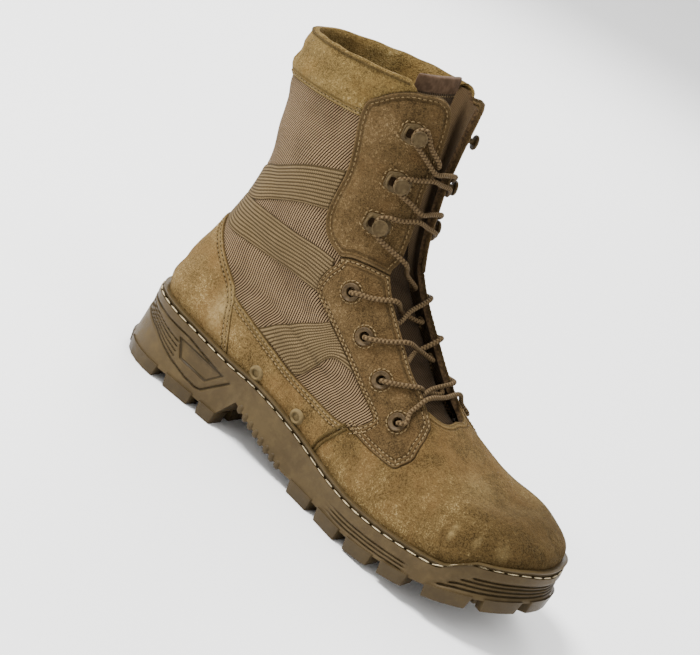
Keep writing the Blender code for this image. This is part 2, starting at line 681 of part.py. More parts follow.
PANEL = ((44, 34.5), (48, 22.5), (71, 14), (84, 27.5))      # (x, z) of the heel's sunk side panel
PANEL_DEPTH = 1.3
PANEL_BLOCK = (5, 60)       # from near the centre line out past the wall


def make_midsole():
    """The side wall and the cup that the upper stands in."""
    rings = []
    for i, share in enumerate(RIB_STEPS):
        def height(x, rung, share=share):
            bottom = plate_bottom(x) + PLATE + GAP
            return bottom + (stitch_height(rung) - bottom) * share

        def inward(q, share=share, i=i):
            return TOP_TAPER * share + RIB_DEPTH * (i in (1, 3)) * ribbed(q)

        rings.append(ground_ring(height, inward))
    rings.append(last_ring(stitch_height, WALL_OFFSET))
    rings.append(last_ring(lambda x: feather_height(x) - CUP_DEPTH, WALL_OFFSET))
    body = loft("midsole", rings)
    for side in (-1, 1):
        block = prism(PANEL, *PANEL_BLOCK)
        turn = Matrix(((1, 0, 0, 0), (0, 0, side, 0), (0, 1, 0, 0), (0, 0, 0, 1)))
        block.data.transform(turn)
        if turn.determinant() < 0:
            block.data.flip_normals()
        core = loft("core", [ground_ring(lambda x, rung: 0.0, PANEL_DEPTH),
                             ground_ring(lambda x, rung: PANEL_BLOCK[1], PANEL_DEPTH + TOP_TAPER)])
        combine(block, core, "DIFFERENCE")
        combine(body, block, "DIFFERENCE")
    return finish(body, "rubber_side")


def make_welt():
    """The lip above the stitched line, close round the overlays."""
    def high(x):
        return stitch_height(x) + LIP_RISE

    groove = np.array((0, 0, STITCH_GROOVE))
    inner = np.array(last_ring(stitch_height, WALL_OFFSET))
    outer = np.array(ground_ring(lambda x, rung: stitch_height(rung), TOP_TAPER))
    width = np.linalg.norm(outer - inner, axis=1, keepdims=True)
    foot = inner + (outer - inner) * np.minimum(1, WELT_FOOT / width)
    rings = [inner + groove, foot + groove, last_ring(high, WALL_OFFSET + LIP_THICKNESS),
             last_ring(high, WALL_OFFSET)]
    return finish(loft("welt", rings, closed=True), "rubber_side")


def make_insole():
    """A thin bed inside the upper, on the floor of the cup."""
    rings = []
    for rise in (GAP, GAP + INSOLE_THICKNESS):
        def height(x, rise=rise):
            return feather_height(x) + rise

        rings.append(last_ring(height, -WALL - INSOLE_PLAY))
    return finish(loft("insole", rings), "lining")


# ---------------------------------------------------------------- the tread
CHUNKS = (                          # forefoot lugs: x, y, turn in degrees
    (159, -13, 20), (160, 15, 75), (177, 1, 40), (180, -25, 95), (181, 28, 10), (197, -12, 60),
    (198, 15, 25), (214, 2, 85), (217, -25, 30), (219, 27, 70), (234, -11, 15), (235, 16, 50),
)
CHUNK_ARMS, CHUNK_WAISTS = 9.3, 5.6
HEEL_CHUNKS = ((50, -11, 10), (51, 12, 70), (32, 1, 40), (66, 0, 100))
EDGE_LUGS = ((151, 171), (177, 197), (203, 222), (228, 246))   # x of each forefoot edge lug
HEEL_LUGS = ((46, 68), (74, 87))
TOE_ARCS = ((0, 9), (12, 19), (22, 28))                        # distance in from the outline
TOE_CUTS = ((0.815, 0.885), (0.9, 0.955))                      # shares that each piece spans
TOE_NOSE = 0.97
ARCH_RIBS, RIB_START, RIB_PITCH = 8, 99.5, 5.4
RIB_HALF, RIB_TIP_HALF = 1.9, 1.14
RIB_DROP, RIB_ROOT = 2.4, 1.4                                  # below and into the plate
RIB_INNER = 15.0                                               # its inner end, from the centre line
RIB_PROUD = 0.5
HEEL_BAR = ((76, -21), (87, -21), (87, 21), (76, 21))          # the lug along the heel's breast
HEEL_CORNERS = ((0.065, 39, -LUG_PROUD, 9, 2), (0.07, 34, 12, 18, 1))  # share, to x, near, far, steps
HEEL_ARCS = ((-LUG_PROUD, 9, 2), (12, 18, 1))                  # near, far, steps
HEEL_REACH = 0.05


def lug(outline):
    """One block of tread, wider where it leaves the plate."""
    ground = np.array(outline, dtype=float)
    middle = ground.mean(axis=0)
    tip = middle + (ground - middle) * LUG_TAPER
    n = len(ground)
    points = [(x, y, float(spring(x))) for x, y in tip]
    points += [(x, y, LUG_DEPTH + LUG_REACH + float(spring(x))) for x, y in ground]
    faces = [tuple(range(n)), tuple(range(n, 2 * n))]
    faces += [(i, (i + 1) % n, n + (i + 1) % n, n + i) for i in range(n)]
    return raw_object("lug", points, faces)


def edge_lug(start, end, side, near=-LUG_PROUD, far=13.0, between=1):
    """A block along the outline between two shares, from near to far inside it."""
    outer = [rim(q, side, near) for q in np.linspace(start, end, between + 2)]
    inner = [rim(q, side, far) for q in np.linspace(end, start, between + 2)]
    return lug(outer + inner)


def nose_lug(reach, near, far, q_end, steps=2):
    """A block round the toe's or the heel's centre line, on both sides of it."""
    shares = np.linspace(reach, q_end, steps + 1)
    outer = ([rim(q, -1, near) for q in shares] + [rim(q, 1, near) for q in shares[-2::-1]])
    inner = ([rim(q, 1, far) for q in shares] + [rim(q, -1, far) for q in shares[-2::-1]])
    return lug(outer + inner)


def star(x, y, turn):
    """A chunk with three arms."""
    angles = [math.radians(turn + 60 * i) for i in range(6)]
    return lug([(x + (CHUNK_WAISTS if i % 2 else CHUNK_ARMS) * math.cos(a),
                 y + (CHUNK_WAISTS if i % 2 else CHUNK_ARMS) * math.sin(a))
                for i, a in enumerate(angles)])


def arch_rib(number, side):
    """One of the thick ribs under the side of the arch."""
    x = RIB_START + RIB_PITCH * number
    low, high = float(plate_bottom(x)) - RIB_DROP, float(plate_bottom(x)) + RIB_ROOT
    outer = rim(share_at(x, side), side, -RIB_PROUD)[1]
    inner = RIB_INNER * side
    section = ((x - RIB_HALF, high), (x - RIB_TIP_HALF, low), (x + RIB_TIP_HALF, low),
               (x + RIB_HALF, high))
    points = [(px, y, pz) for y in (inner, outer) for px, pz in section]
    faces = [(0, 1, 2, 3), (4, 5, 6, 7)]
    faces += [(i, (i + 1) % 4, 4 + (i + 1) % 4, 4 + i) for i in range(4)]
    return raw_object("rib", points, faces)


def make_outsole():
    """The plate under the midsole with every lug and rib joined on."""
    plate = loft("outsole", [ground_ring(lambda x, rung: plate_bottom(x)),
                             ground_ring(lambda x, rung: plate_bottom(x) + PLATE)])
    blocks = [star(*row) for row in CHUNKS + HEEL_CHUNKS]
    for side in (-1, 1):
        for start, end in EDGE_LUGS + HEEL_LUGS:
            blocks.append(edge_lug(share_at(start, side), share_at(end, side), side))
        for near, far in TOE_ARCS:
            for start, end in TOE_CUTS:
                blocks.append(edge_lug(start, end, side, near or -LUG_PROUD, far, 1 - bool(near)))
        for share, x, near, far, steps in HEEL_CORNERS:
            blocks.append(edge_lug(share, share_at(x, side), side, near, far, steps))
        blocks += [arch_rib(i, side) for i in range(ARCH_RIBS)]
    for near, far in TOE_ARCS:
        blocks.append(nose_lug(TOE_NOSE, near or -LUG_PROUD, far, 1.0))
    for near, far, steps in HEEL_ARCS:
        blocks.append(nose_lug(HEEL_REACH, near, far, 0.0, steps))
    blocks.append(lug(HEEL_BAR))
    for block in blocks:
        combine(plate, block, "UNION")
    return finish(plate, "rubber")


# ---------------------------------------------------------------- hardware
EYELET_PROFILE = ((2.0, 4.3), (5.2, 3.4), (2.9, 3.4), (2.9, -3.0), (2.0, -3.0))
VENT_PROFILE = ((1.5, 2.8), (4.5, 2.1), (2.2, 2.1), (2.2, -3.0), (1.5, -3.0))
STUD_PROFILE = ((0, 3.7), (1.9, 3.7), (1.9, 8.0), (4.3, 8.2), (4.1, 9.8), (0, 9.8))
HOOK_PLATE = ((4.5, -4.2), (5.2, 0), (4.5, 4.2), (-3, 5.6), (-9, 3.4), (-9, -3.4), (-3, -5.6))
HOOK_SEAT = 3.2             # from the last to the underside of a hook's plate
HOOK_SHEET = 1.0


def turned(name, profile, sides=8):
    """A solid of revolution about the local z axis; a profile that touches the axis is capped."""
    solid_end = profile[0][0] == 0
    rings = [p for p in profile if p[0] > 0]
    points, faces = [], []
    for radius, height in rings:
        points += [(radius * math.cos(2 * math.pi * i / sides),
                    radius * math.sin(2 * math.pi * i / sides), height) for i in range(sides)]
    steps = len(rings) - 1 if solid_end else len(rings)
    for r in range(steps):
        low, high = r * sides, ((r + 1) % len(rings)) * sides
        faces += [(low + i, low + (i + 1) % sides, high + (i + 1) % sides, high + i)
                  for i in range(sides)]
    if solid_end:
        faces += [tuple(range(sides)), tuple(range(len(points) - sides, len(points)))]
    return raw_object(name, points, faces)


def seat(q, v, side):
    """A matrix that stands local z on the last's skin, with local x towards the front."""
    across, up = place(q, v, side)
    base, tip = wrap([(across, up, 0), (across, up, 1)])
    ends = wrap([(across - 3, up, 0), (across + 3, up, 0)])
    outward = Vector(tip - base).normalized()
    forward = Vector(ends[1] - ends[0]) * -side
    forward = (forward - outward * forward.dot(outward)).normalized()
    rising = outward.cross(forward)
    turn = Matrix((forward, rising, outward)).transposed().to_4x4()
    return Matrix.Translation(Vector(base)) @ turn


def stand(made, q, v, side, look):
    made.data.transform(seat(q, v, side))
    return finish(made, look)


def make_hook(name, q, v, side):
    """A speed hook: a riveted plate and a headed stud, one casting."""
    plate = prism(HOOK_PLATE, HOOK_SEAT, HOOK_SEAT + HOOK_SHEET, name)
    combine(plate, turned("stud", STUD_PROFILE), "UNION")
    stand(plate, q, v, side, "painted_brass")


def make_hardware():
    for side, where in ((-1, "in"), (1, "out")):
        for i, (q, v) in enumerate(EYELETS, 1):
            stand(turned(f"eyelet_{i}_{where}", EYELET_PROFILE), q, v, side, "painted_brass")
        for i, (q, v) in enumerate(HOOKS, 1):
            make_hook(f"hook_{i}_{where}", q, v, side)
    for i, (q, v) in enumerate(VENTS, 1):
        stand(turned(f"vent_{i}", VENT_PROFILE), q, v, -1, "painted_brass")


# ---------------------------------------------------------------- laces
LACE_RADIUS = 1.4
LACE_HEIGHT = 5.4           # centre of the lace above the last at the flaps' edges
LACE_ROWS = (                # where each row of lace meets the edge of a flap: q, v
    (88.5, 51.8), (87.2, 58.5), (86.2, 64.5), (86.4, 68), (90, 76), (90.8, 84), (90.3, 92.5),
)
CROSSING_LIFT = 2.2
BAR_RADIUS = 1.46           # the lowest bar swallows the strands' ends
BAR_BOW = (0.3, 0, 0.9)     # the way it bows off the tongue


def tube(name, points, radius, sides=5):
    """A round cord through a line of points, with its frame carried along."""
    points = np.array(points, dtype=float)
    ahead = np.gradient(points, axis=0)
    ahead /= np.linalg.norm(ahead, axis=1, keepdims=True)
    normal = np.cross(ahead[0], (0.3, 0.2, 0.9))
    rings = []
    for point, direction in zip(points, ahead):
        normal = normal - direction * (normal @ direction)
        normal /= np.linalg.norm(normal)
        across = np.cross(direction, normal)
        rings += [point + radius * (math.cos(a) * normal + math.sin(a) * across)
                  for a in (2 * math.pi * i / sides for i in range(sides))]
    count = len(points)
    faces = [tuple(range(sides)), tuple(range((count - 1) * sides, count * sides))]
    for r in range(count - 1):
        faces += [(r * sides + i, r * sides + (i + 1) % sides, (r + 1) * sides + (i + 1) % sides,
                   (r + 1) * sides + i) for i in range(sides)]
    return raw_object(name, rings, faces)


def flap_point(row, side):
    across, up = place(*LACE_ROWS[row], side)
    return wrap([(across, up, LACE_HEIGHT)])[0]


def crossing(row):
    """Where the two strands cross between a row and the next one up."""
    middle = (flap_point(row, -1) + flap_point(row, 1)
              + flap_point(row + 1, -1) + flap_point(row + 1, 1)) / 4
    across, up = place(100, (LACE_ROWS[row][1] + LACE_ROWS[row + 1][1]) / 2, 1)
    base, tip = wrap([(across, up, 0), (across, up, 1)])
    return middle + (tip - base) * CROSSING_LIFT


def make_laces():
    """Two strands that cross between the flaps, joined where they meet and by the lowest bar."""
    strands = []
    for first in (-1, 1):
        points = [flap_point(0, first)]
        side = first
        for row in range(len(LACE_ROWS) - 1):
            points.append(crossing(row))
            side = -side
            points.append(flap_point(row + 1, side))
        strands.append(tube("laces", points, LACE_RADIUS))
    low_left, low_right = flap_point(0, -1), flap_point(0, 1)
    middle = (low_left + low_right) / 2 + CROSSING_LIFT * np.array(BAR_BOW)
    bar = tube("bar", [low_left, middle, low_right], BAR_RADIUS)
    combine(strands[0], strands[1], "UNION")
    combine(strands[0], bar, "UNION")
    return finish(strands[0], "lace")


def settle():
    """Stand the boot on the origin: its box centred across, its lowest point on the ground."""
    meshes = [o for o in bpy.data.objects if o.type == "MESH" and not o.hide_render]
    corners = np.concatenate([np.array([v.co for v in o.data.vertices]) for o in meshes])
    low, high = corners.min(axis=0), corners.max(axis=0)
    shift = Vector((-(low[0] + high[0]) / 2, -(low[1] + high[1]) / 2, -low[2]))
    for made in meshes:
        made.data.transform(Matrix.Translation(shift))


for leftover in list(bpy.data.objects):
    bpy.data.objects.remove(leftover)
make_outsole()
make_midsole()
make_welt()
make_upper()
make_insole()
make_tongue()
make_overlays()
make_hardware()
make_laces()
settle()
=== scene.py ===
# %% [markdown]
# # A tall hiking boot for the left foot
# The solids of this boot already exist, with the right sizes and places. This lesson dresses them:
# it cuts every leather, cloth and webbing panel again with soft edges and seams, turns the eyelets,
# threads the lace, and gives each piece a finish built from nodes.

# %% Load the solids
import math

import bmesh
import bpy
import numpy as np
from mathutils import Matrix, Vector


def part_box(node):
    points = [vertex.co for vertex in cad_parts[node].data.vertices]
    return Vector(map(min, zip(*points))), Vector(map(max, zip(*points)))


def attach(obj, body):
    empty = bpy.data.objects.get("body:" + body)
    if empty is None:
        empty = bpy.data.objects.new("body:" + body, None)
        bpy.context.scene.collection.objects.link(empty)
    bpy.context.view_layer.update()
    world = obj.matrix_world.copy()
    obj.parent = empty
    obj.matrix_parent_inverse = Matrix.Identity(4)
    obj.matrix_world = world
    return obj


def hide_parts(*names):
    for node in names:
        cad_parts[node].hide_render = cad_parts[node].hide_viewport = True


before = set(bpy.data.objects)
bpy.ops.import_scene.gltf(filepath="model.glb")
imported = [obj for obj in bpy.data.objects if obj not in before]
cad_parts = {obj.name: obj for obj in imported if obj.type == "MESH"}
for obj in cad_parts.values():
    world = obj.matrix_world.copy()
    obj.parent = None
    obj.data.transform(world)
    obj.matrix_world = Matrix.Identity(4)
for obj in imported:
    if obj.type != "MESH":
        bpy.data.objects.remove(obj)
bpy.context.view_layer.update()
MM = 0.001
print("solids loaded:", len(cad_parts), "nodes")

# %% [markdown]
# ## The shape of the foot
# A shoemaker starts from a last, a solid foot. Here it is a stack of slanted slices: each row gives
# where a slice starts at the heel and ends at the toe, and its half widths. Between the rows the
# sizes are eased, so the skin is smooth. One could sculpt this by hand, but named sizes keep every
# later piece in step with it.

# %% Sizes of the last and the sole, in millimetres from the heel's back
COLUMNS = (
    "name", "back_x", "back_z", "front_x", "front_z", "heel", "waist_in", "waist_out",
    "ball_in", "ball_out", "back_round", "front_round", "follow",
)
SECTION_ROWS = (
    ("feather", 7.0, 37.0, 291.0, 38.2, 30.5, 33.0, 37.0, 45.5, 49.5, 34, 52, 1.0),
    ("bulge", 4.0, 51.0, 295.5, 50.5, 33.0, 35.5, 40.0, 47.5, 51.5, 36, 50, 0.95),
    ("toe_wall", 5.0, 63.0, 293.0, 59.5, 33.5, 35.5, 40.5, 45.5, 49.0, 36, 48, 0.8),
    ("toe_top", 8.5, 76.0, 277.0, 65.5, 32.5, 34.5, 39.0, 39.5, 42.0, 35, 48, 0.6),
    ("vamp", 12.5, 88.0, 250.0, 66.5, 31.0, 33.5, 37.0, 34.5, 35.0, 35, 50, 0.4),
    ("throat", 17.0, 106.0, 206.0, 79.5, 29.0, 31.5, 34.0, 31.5, 30.5, 38, 60, 0.2),
    ("instep", 20.0, 124.0, 171.0, 103.0, 29.0, 32.0, 33.0, 31.0, 31.5, 46, 60, 0.0),
    ("ankle", 20.5, 144.0, 136.0, 135.0, 31.0, 34.0, 34.5, 32.5, 33.0, 50, 52, 0.0),
    ("shaft", 16.0, 169.0, 122.5, 174.0, 34.0, 36.5, 36.5, 34.0, 34.0, 48, 48, 0.0),
    ("cuff", 9.5, 191.0, 118.0, 204.0, 37.0, 39.0, 39.0, 36.5, 36.5, 50, 48, 0.0),
    ("collar", 8.5, 220.5, 115.0, 236.0, 39.0, 41.0, 43.0, 38.5, 40.5, 52, 48, 0.0),
)
SECTIONS = {name: np.array([row[i] for row in SECTION_ROWS], dtype=float)
            for i, name in enumerate(COLUMNS) if name != "name"}
HEEL_STATION, WAIST_STATION, BALL_STATION = 0.15, 0.45, 0.74
END_POWER = 2.15
SOLE_TIP = 302.0
TOE_SPRING, SPRING_START, SPRING_POWER = 25.5, 190.0, 1.7
TOE_SWING, SWING_START, SWING_POWER = -8.0, 170.0, 1.6
HEEL_FLOOR = 37.0
FLOOR_DROPS = ((20, 85, 5.6), (92, 187, 14.6))
HALF_TURN, FULL_HEIGHT = 220.0, 230.0
WALL = 2.4


def smooth(t):
    """An eased step from 0 to 1."""
    t = np.clip(t, 0.0, 1.0)
    return t * t * (3 - 2 * t)


def eased(value, span):
    """An eased step from 0 to 1 over a span."""
    return smooth((value - span[0]) / (span[1] - span[0]))


def spring(x):
    """How far the ground side of the sole is lifted at x."""
    return TOE_SPRING * (np.maximum(x - SPRING_START, 0) / (SOLE_TIP - SPRING_START)) ** SPRING_POWER


def swing(x):
    """How far the centre line leans towards the inner side at x."""
    return TOE_SWING * (np.clip(x - SWING_START, 0, None) / (SOLE_TIP - SWING_START)) ** SWING_POWER


def feather_height(x):
    """Height of the sole's inside floor, where the upper starts."""
    fallen = sum(drop * eased(x, (start, end)) for start, end, drop in FLOOR_DROPS)
    return HEEL_FLOOR - fallen + spring(x)


print("toe lifted by", round(float(spring(SOLE_TIP)), 1), "mm")

# %% [markdown]
# ## Unrolling the skin
# Panels are cut flat and then wrapped, as leather is. So the skin of the last gets a flat map:
# across, from the front centre line round to the back one, and up, from the sole's edge to the
# collar. The map is a fine table of points and outward directions, and `wrap` reads it.

# %% The flat map of the last


def hermite(t, start, start_slope, end, end_slope):
    """A smooth value at share t between two values with given slopes."""
    return ((2 * t**3 - 3 * t**2 + 1) * start + (t**3 - 2 * t**2 + t) * start_slope
            + (3 * t**2 - 2 * t**3) * end + (t**3 - t**2) * end_slope)


def section_at(v):
    """Every size of the slice at v, from 0 at the feather edge to 1 at the collar."""
    place_now = v * (len(SECTION_ROWS) - 1)
    i = int(min(max(math.floor(place_now), 0), len(SECTION_ROWS) - 2))
    t = place_now - i
    found = {}
    for name, values in SECTIONS.items():
        before, a, b, after = (values[max(i - 1, 0)], values[i], values[i + 1],
                               values[min(i + 2, len(values) - 1)])
        slope_a = (b - before) / 2 if i > 0 else b - a
        slope_b = (after - a) / 2 if i + 2 < len(values) else b - a
        found[name] = hermite(t, a, slope_a, b, slope_b)
    return found


def half_outline(sec, side, steps=300):
    """Points of one side of a slice, from the back centre to the front centre."""
    length = sec["front_x"] - sec["back_x"]
    s = (1 - np.cos(np.linspace(0, math.pi, steps))) / 2
    waist, ball = ((sec["waist_in"], sec["ball_in"]) if side < 0
                   else (sec["waist_out"], sec["ball_out"]))
    width = (sec["heel"]
             + (waist - sec["heel"]) * smooth((s - HEEL_STATION) / (WAIST_STATION - HEEL_STATION))
             + (ball - waist) * smooth((s - WAIST_STATION) / (BALL_STATION - WAIST_STATION)))
    back = np.clip(1 - s * length / sec["back_round"], 0, 1)
    front = np.clip(1 - (1 - s) * length / sec["front_round"], 0, 1)
    ends = ((1 - back**END_POWER) * (1 - front**END_POWER)) ** (1 / END_POWER)
    x = sec["back_x"] + length * s
    dip = feather_height(x) - (1 - s) * feather_height(sec["back_x"]) - s * feather_height(sec["front_x"])
    z = sec["back_z"] + (sec["front_z"] - sec["back_z"]) * s + sec["follow"] * dip
    return np.stack([x, side * width * ends + swing(x), z], axis=1)


def run_of(points):
    """Length walked along a line at each of its points."""
    return np.concatenate([[0], np.cumsum(np.linalg.norm(np.diff(points, axis=0), axis=1))])


def by_girth(points, q):
    """The points at the shares q of a line's own length."""
    run = run_of(points)
    return np.stack([np.interp(np.asarray(q) * run[-1], run, points[:, k])
                     for k in range(points.shape[1])], axis=1)


MAP_STEP = 2.0
MAP_ACROSS = np.arange(-HALF_TURN, HALF_TURN + 1, MAP_STEP)
MAP_UP = np.arange(0, FULL_HEIGHT + 9, MAP_STEP)


def place(q, v, side, back_centred=False):
    """Pattern point of per cents q (back to front) and v (up) on one side."""
    across = side * HALF_TURN * (1 - q / 100)
    if back_centred:
        across = HALF_TURN * (1 - side * q / 100)
    return across, v / 100 * FULL_HEIGHT


def skin_table():
    """Points of the bare skin at every crossing of the map."""
    points = np.zeros((len(MAP_UP), len(MAP_ACROSS), 3))
    for r, row in enumerate(MAP_UP):
        sec = section_at(row / FULL_HEIGHT)
        for side in (-1, 1):
            mine = MAP_ACROSS * side >= 0
            share = 1 - np.abs(MAP_ACROSS[mine]) / HALF_TURN
            points[r, mine] = by_girth(half_outline(sec, side), share)
    return points


def outward_of(points):
    """Directions out of a skin that closes on itself down the back."""
    ring = points[:, :-1]
    along = np.roll(ring, -1, axis=1) - np.roll(ring, 1, axis=1)
    outward = np.cross(along, np.gradient(ring, axis=0))
    outward /= np.linalg.norm(outward, axis=2, keepdims=True)
    return np.concatenate([outward, outward[:, :1]], axis=1)


BARE_SKIN = skin_table()
HALF_GIRTH = np.linalg.norm(np.diff(BARE_SKIN, axis=1), axis=2).sum(axis=1) / 2
print("half girth at the ankle:", round(float(HALF_GIRTH[80]), 1), "mm")

# %% [markdown]
# ## Creases and soft hollows
# Rough-out leather over a padded boot is never dead smooth. It bows between its seams, dips behind
# the ankle bone and folds where the foot bends. The main ones are listed as lines on the map,
# each a soft trough (minus) or ridge (plus), and they go into the skin itself, so that the panels,
# seams and stitches on top all follow.

# %% Troughs and ridges
CREASES = (                 # side (0 is both), depth, half width, line of (q, v)
    (0, -1.6, 8.0, ((20, 52), (32, 50), (44, 46))),
    (0, 1.0, 7.0, ((18, 58), (32, 57), (46, 54))),
    (0, -1.3, 6.0, ((46, 58), (58, 50), (66, 38))),
    (-1, -1.0, 5.0, ((30, 40), (42, 35), (52, 30))),
    (-1, 0.9, 6.0, ((28, 33), (40, 29), (52, 27))),
    (1, -1.0, 5.0, ((28, 38), (42, 34), (54, 29))),
    (0, -0.9, 7.0, ((12, 70), (26, 68), (44, 70))),
    (0, 0.8, 8.0, ((10, 78), (28, 78), (48, 82))),
    (0, -0.8, 6.0, ((8, 86), (24, 85), (50, 88))),
    (-1, -0.8, 6.0, ((54, 14), (62, 20), (70, 22), (80, 30))),
    (-1, 0.6, 6.0, ((58, 10), (68, 15), (80, 20))),
    (1, -0.9, 6.0, ((54, 15), (64, 19), (76, 24))),
    (0, -0.9, 7.0, ((78, 31), (88, 36), (100, 38))),
    (0, 0.7, 7.0, ((76, 25), (88, 29), (100, 31))),
    (-1, -0.8, 7.0, ((4, 20), (12, 26), (20, 24))),
    (-1, 0.8, 8.0, ((6, 12), (14, 13), (22, 12))),
    (-1, 0.7, 7.0, ((64, 74), (70, 80), (68, 88))),
    (-1, -0.6, 6.0, ((72, 72), (78, 78), (76, 88))),
)


def near_line(points, line):
    """Least distance of each point from a line of points."""
    line = np.asarray(line, dtype=float)
    best = np.full(len(points), 1e9)
    for a, b in zip(line[:-1], line[1:]):
        step = b - a
        t = np.clip((points - a) @ step / max(step @ step, 1e-12), 0, 1)
        best = np.minimum(best, np.linalg.norm(points - a - t[:, None] * step, axis=1))
    return best


def relief():
    """Height of every crease at the crossings of the map."""
    across, up = np.meshgrid(MAP_ACROSS, MAP_UP)
    flat = np.stack([across.ravel(), up.ravel()], axis=1)
    total = np.zeros(len(flat))
    for side, depth, width, line in CREASES:
        for one in ((-1, 1) if side == 0 else (side,)):
            mine = near_line(flat, [place(q, v, one) for q, v in line])
            total += depth * np.exp(-(mine / width) ** 2)
    return total.reshape(across.shape)


SKIN = BARE_SKIN + outward_of(BARE_SKIN) * (relief() * eased(MAP_UP, (4, 26))[:, None])[:, :, None]
SKIN[:, -1] = SKIN[:, 0]
OUTWARD = outward_of(SKIN)


def read_map(tables, flat):
    """Values of tables on the map at pattern points, evened out between crossings."""
    a = (flat[:, 0] + HALF_TURN) % (2 * HALF_TURN) / MAP_STEP
    u = np.clip(flat[:, 1], MAP_UP[0], MAP_UP[-1]) / MAP_STEP
    c = np.minimum(a.astype(int), len(MAP_ACROSS) - 2)
    r = np.minimum(u.astype(int), len(MAP_UP) - 2)
    s, t = (a - c)[:, None], (u - r)[:, None]
    return [(table[r, c] * (1 - s) + table[r, c + 1] * s) * (1 - t)
            + (table[r + 1, c] * (1 - s) + table[r + 1, c + 1] * s) * t for table in tables]


def wrap(flat):
    """Lay pattern points (across, up, out) on the skin."""
    flat = np.atleast_2d(np.asarray(flat, dtype=float))
    skin, outward = read_map((SKIN, OUTWARD), flat)
    return skin + outward * flat[:, 2:3]


def girth_map(flat):
    """True millimetres across and up for the weave, measured from the middle of each side."""
    across = (flat[:, 0] + HALF_TURN) % (2 * HALF_TURN) - HALF_TURN
    half = np.interp(flat[:, 1], MAP_UP, HALF_GIRTH)
    return np.stack([np.sign(across + 1e-9) * (0.5 - np.abs(across) / HALF_TURN) * half,
                     flat[:, 1]], axis=1)


print("deepest trough", round(float(relief().min()), 2), "mm")

# %% [markdown]
# ## From the last's frame to the record's
# The solids were settled on the origin after they were made. The same table of coarse crossings is
# read at the solids' own lines, and the upper's box then tells how far everything was moved.

# %% Where the solids stand
UPPER_ROWS = np.array((0, 5, 11, 18, 26, 34, 42, 50, 58, 66, 75, 83, 91, 100)) / 100 * FULL_HEIGHT
UPPER_SHARES = np.linspace(0, 1, 14)
UPPER_SHARES = UPPER_SHARES - 0.5 * np.sin(2 * math.pi * UPPER_SHARES) / (2 * math.pi)


def settled_shift():
    """Millimetres that the solids were moved by, along and across."""
    corners = []
    for row in UPPER_ROWS:
        sec = section_at(row / FULL_HEIGHT)
        for side in (-1, 1):
            corners.append(by_girth(half_outline(sec, side, 160), UPPER_SHARES))
    corners = np.concatenate(corners)
    low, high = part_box("upper")
    middle = (corners[:, 1].min() + corners[:, 1].max()) / 2
    return Vector((low[0] / MM - corners[:, 0].min(), (low[1] + high[1]) / 2 / MM - middle, 0))


SHIFT = settled_shift()
print("moved by", [round(s, 2) for s in SHIFT], "mm")

# %% [markdown]
# ## Camera, light and floor
# The camera stands at the inner side, a little above the ground, and is rolled so that the boot
# leans back as if it rested on its heel. Soft light falls from above the lens, with a broad fill
# and a pale floor that gives the shadows back some light.

# %% Camera
TURN, RISE, ROLL = math.radians(23.5), math.radians(18.3), math.radians(30.1)
DISTANCE, AIM = 1.3, Vector((0.0, 0.0, 0.110))
LENS = 117.9
facing = Vector((math.sin(TURN) * math.cos(RISE), -math.cos(TURN) * math.cos(RISE), math.sin(RISE)))
level = Vector((math.cos(TURN), math.sin(TURN), 0))
upright = facing.cross(level)
right = level * math.cos(ROLL) + upright * math.sin(ROLL)
above = upright * math.cos(ROLL) - level * math.sin(ROLL)


def add(name, data):
    """Put an object with this data in the scene."""
    made = bpy.data.objects.new(name, data)
    bpy.context.scene.collection.objects.link(made)
    return made


def mesh_of(work, name):
    """Turn a finished bmesh into a mesh."""
    mesh = bpy.data.meshes.new(name)
    work.to_mesh(mesh)
    work.free()
    return mesh


camera_data = bpy.data.cameras.new("camera")
camera_data.lens = LENS
camera_data.sensor_width = 36
camera_data.shift_x = -0.088
camera = add("camera", camera_data)
camera.matrix_world = (Matrix.Translation(AIM + facing * DISTANCE)
                       @ Matrix((right, above, facing)).transposed().to_4x4())
bpy.context.scene.camera = camera
print("camera at", [round(c, 3) for c in camera.location])

# %% Lights and floor
LIGHTS = (                  # across, up and towards the lens; size; watts
    ("key", (-0.1, 1.5, 0.6), 0.6, 58),
    ("fill", (-1.5, 0.2, 1.0), 1.2, 11),
    ("front", (1.3, 0.5, 0.9), 1.0, 8),
    ("rim", (0.5, 1.1, -1.1), 0.8, 20),
)


def aim_light(name, offset, size, watts):
    """An area light set out along the picture's own axes and aimed at the boot."""
    data = bpy.data.lights.new(name, "AREA")
    data.shape = "DISK"
    data.size = size
    data.energy = watts
    made = add(name, data)
    spot = AIM + right * offset[0] + above * offset[1] + facing * offset[2]
    spot.z = max(spot.z, 0.3)
    made.location = spot
    made.rotation_euler = (AIM - spot).to_track_quat("-Z", "Y").to_euler()


for row in LIGHTS:
    aim_light(*row)

world = bpy.data.worlds.new("studio")
world.use_nodes = True
world.node_tree.nodes["Background"].inputs["Color"].default_value = (1.0, 1.0, 1.0, 1)
world.node_tree.nodes["Background"].inputs["Strength"].default_value = 1.2
bpy.context.scene.world = world

floor_work = bmesh.new()
bmesh.ops.create_grid(floor_work, x_segments=1, y_segments=1, size=12)
floor = add("floor", mesh_of(floor_work, "floor"))
pale = bpy.data.materials.new("pale_floor")
pale.use_nodes = True
pale_shader = pale.node_tree.nodes["Principled BSDF"]
pale_shader.inputs["Base Color"].default_value = (0.96, 0.96, 0.955, 1)
pale_shader.inputs["Roughness"].default_value = 0.85
floor.data.materials.append(pale)
print("lights:", len(LIGHTS))

# %% [markdown]
# ## Building a material from nodes
# A finish is a small network. `node` adds one node, sets it up and fills its sockets, from a number
# or from another node's output. Such an output is a `Signal`, and sums on signals are written like
# sums on numbers: each + or * adds the node that does it. `group` makes a network that several
# materials share, such as the nap of the leather or a weave.

# %% Node helpers


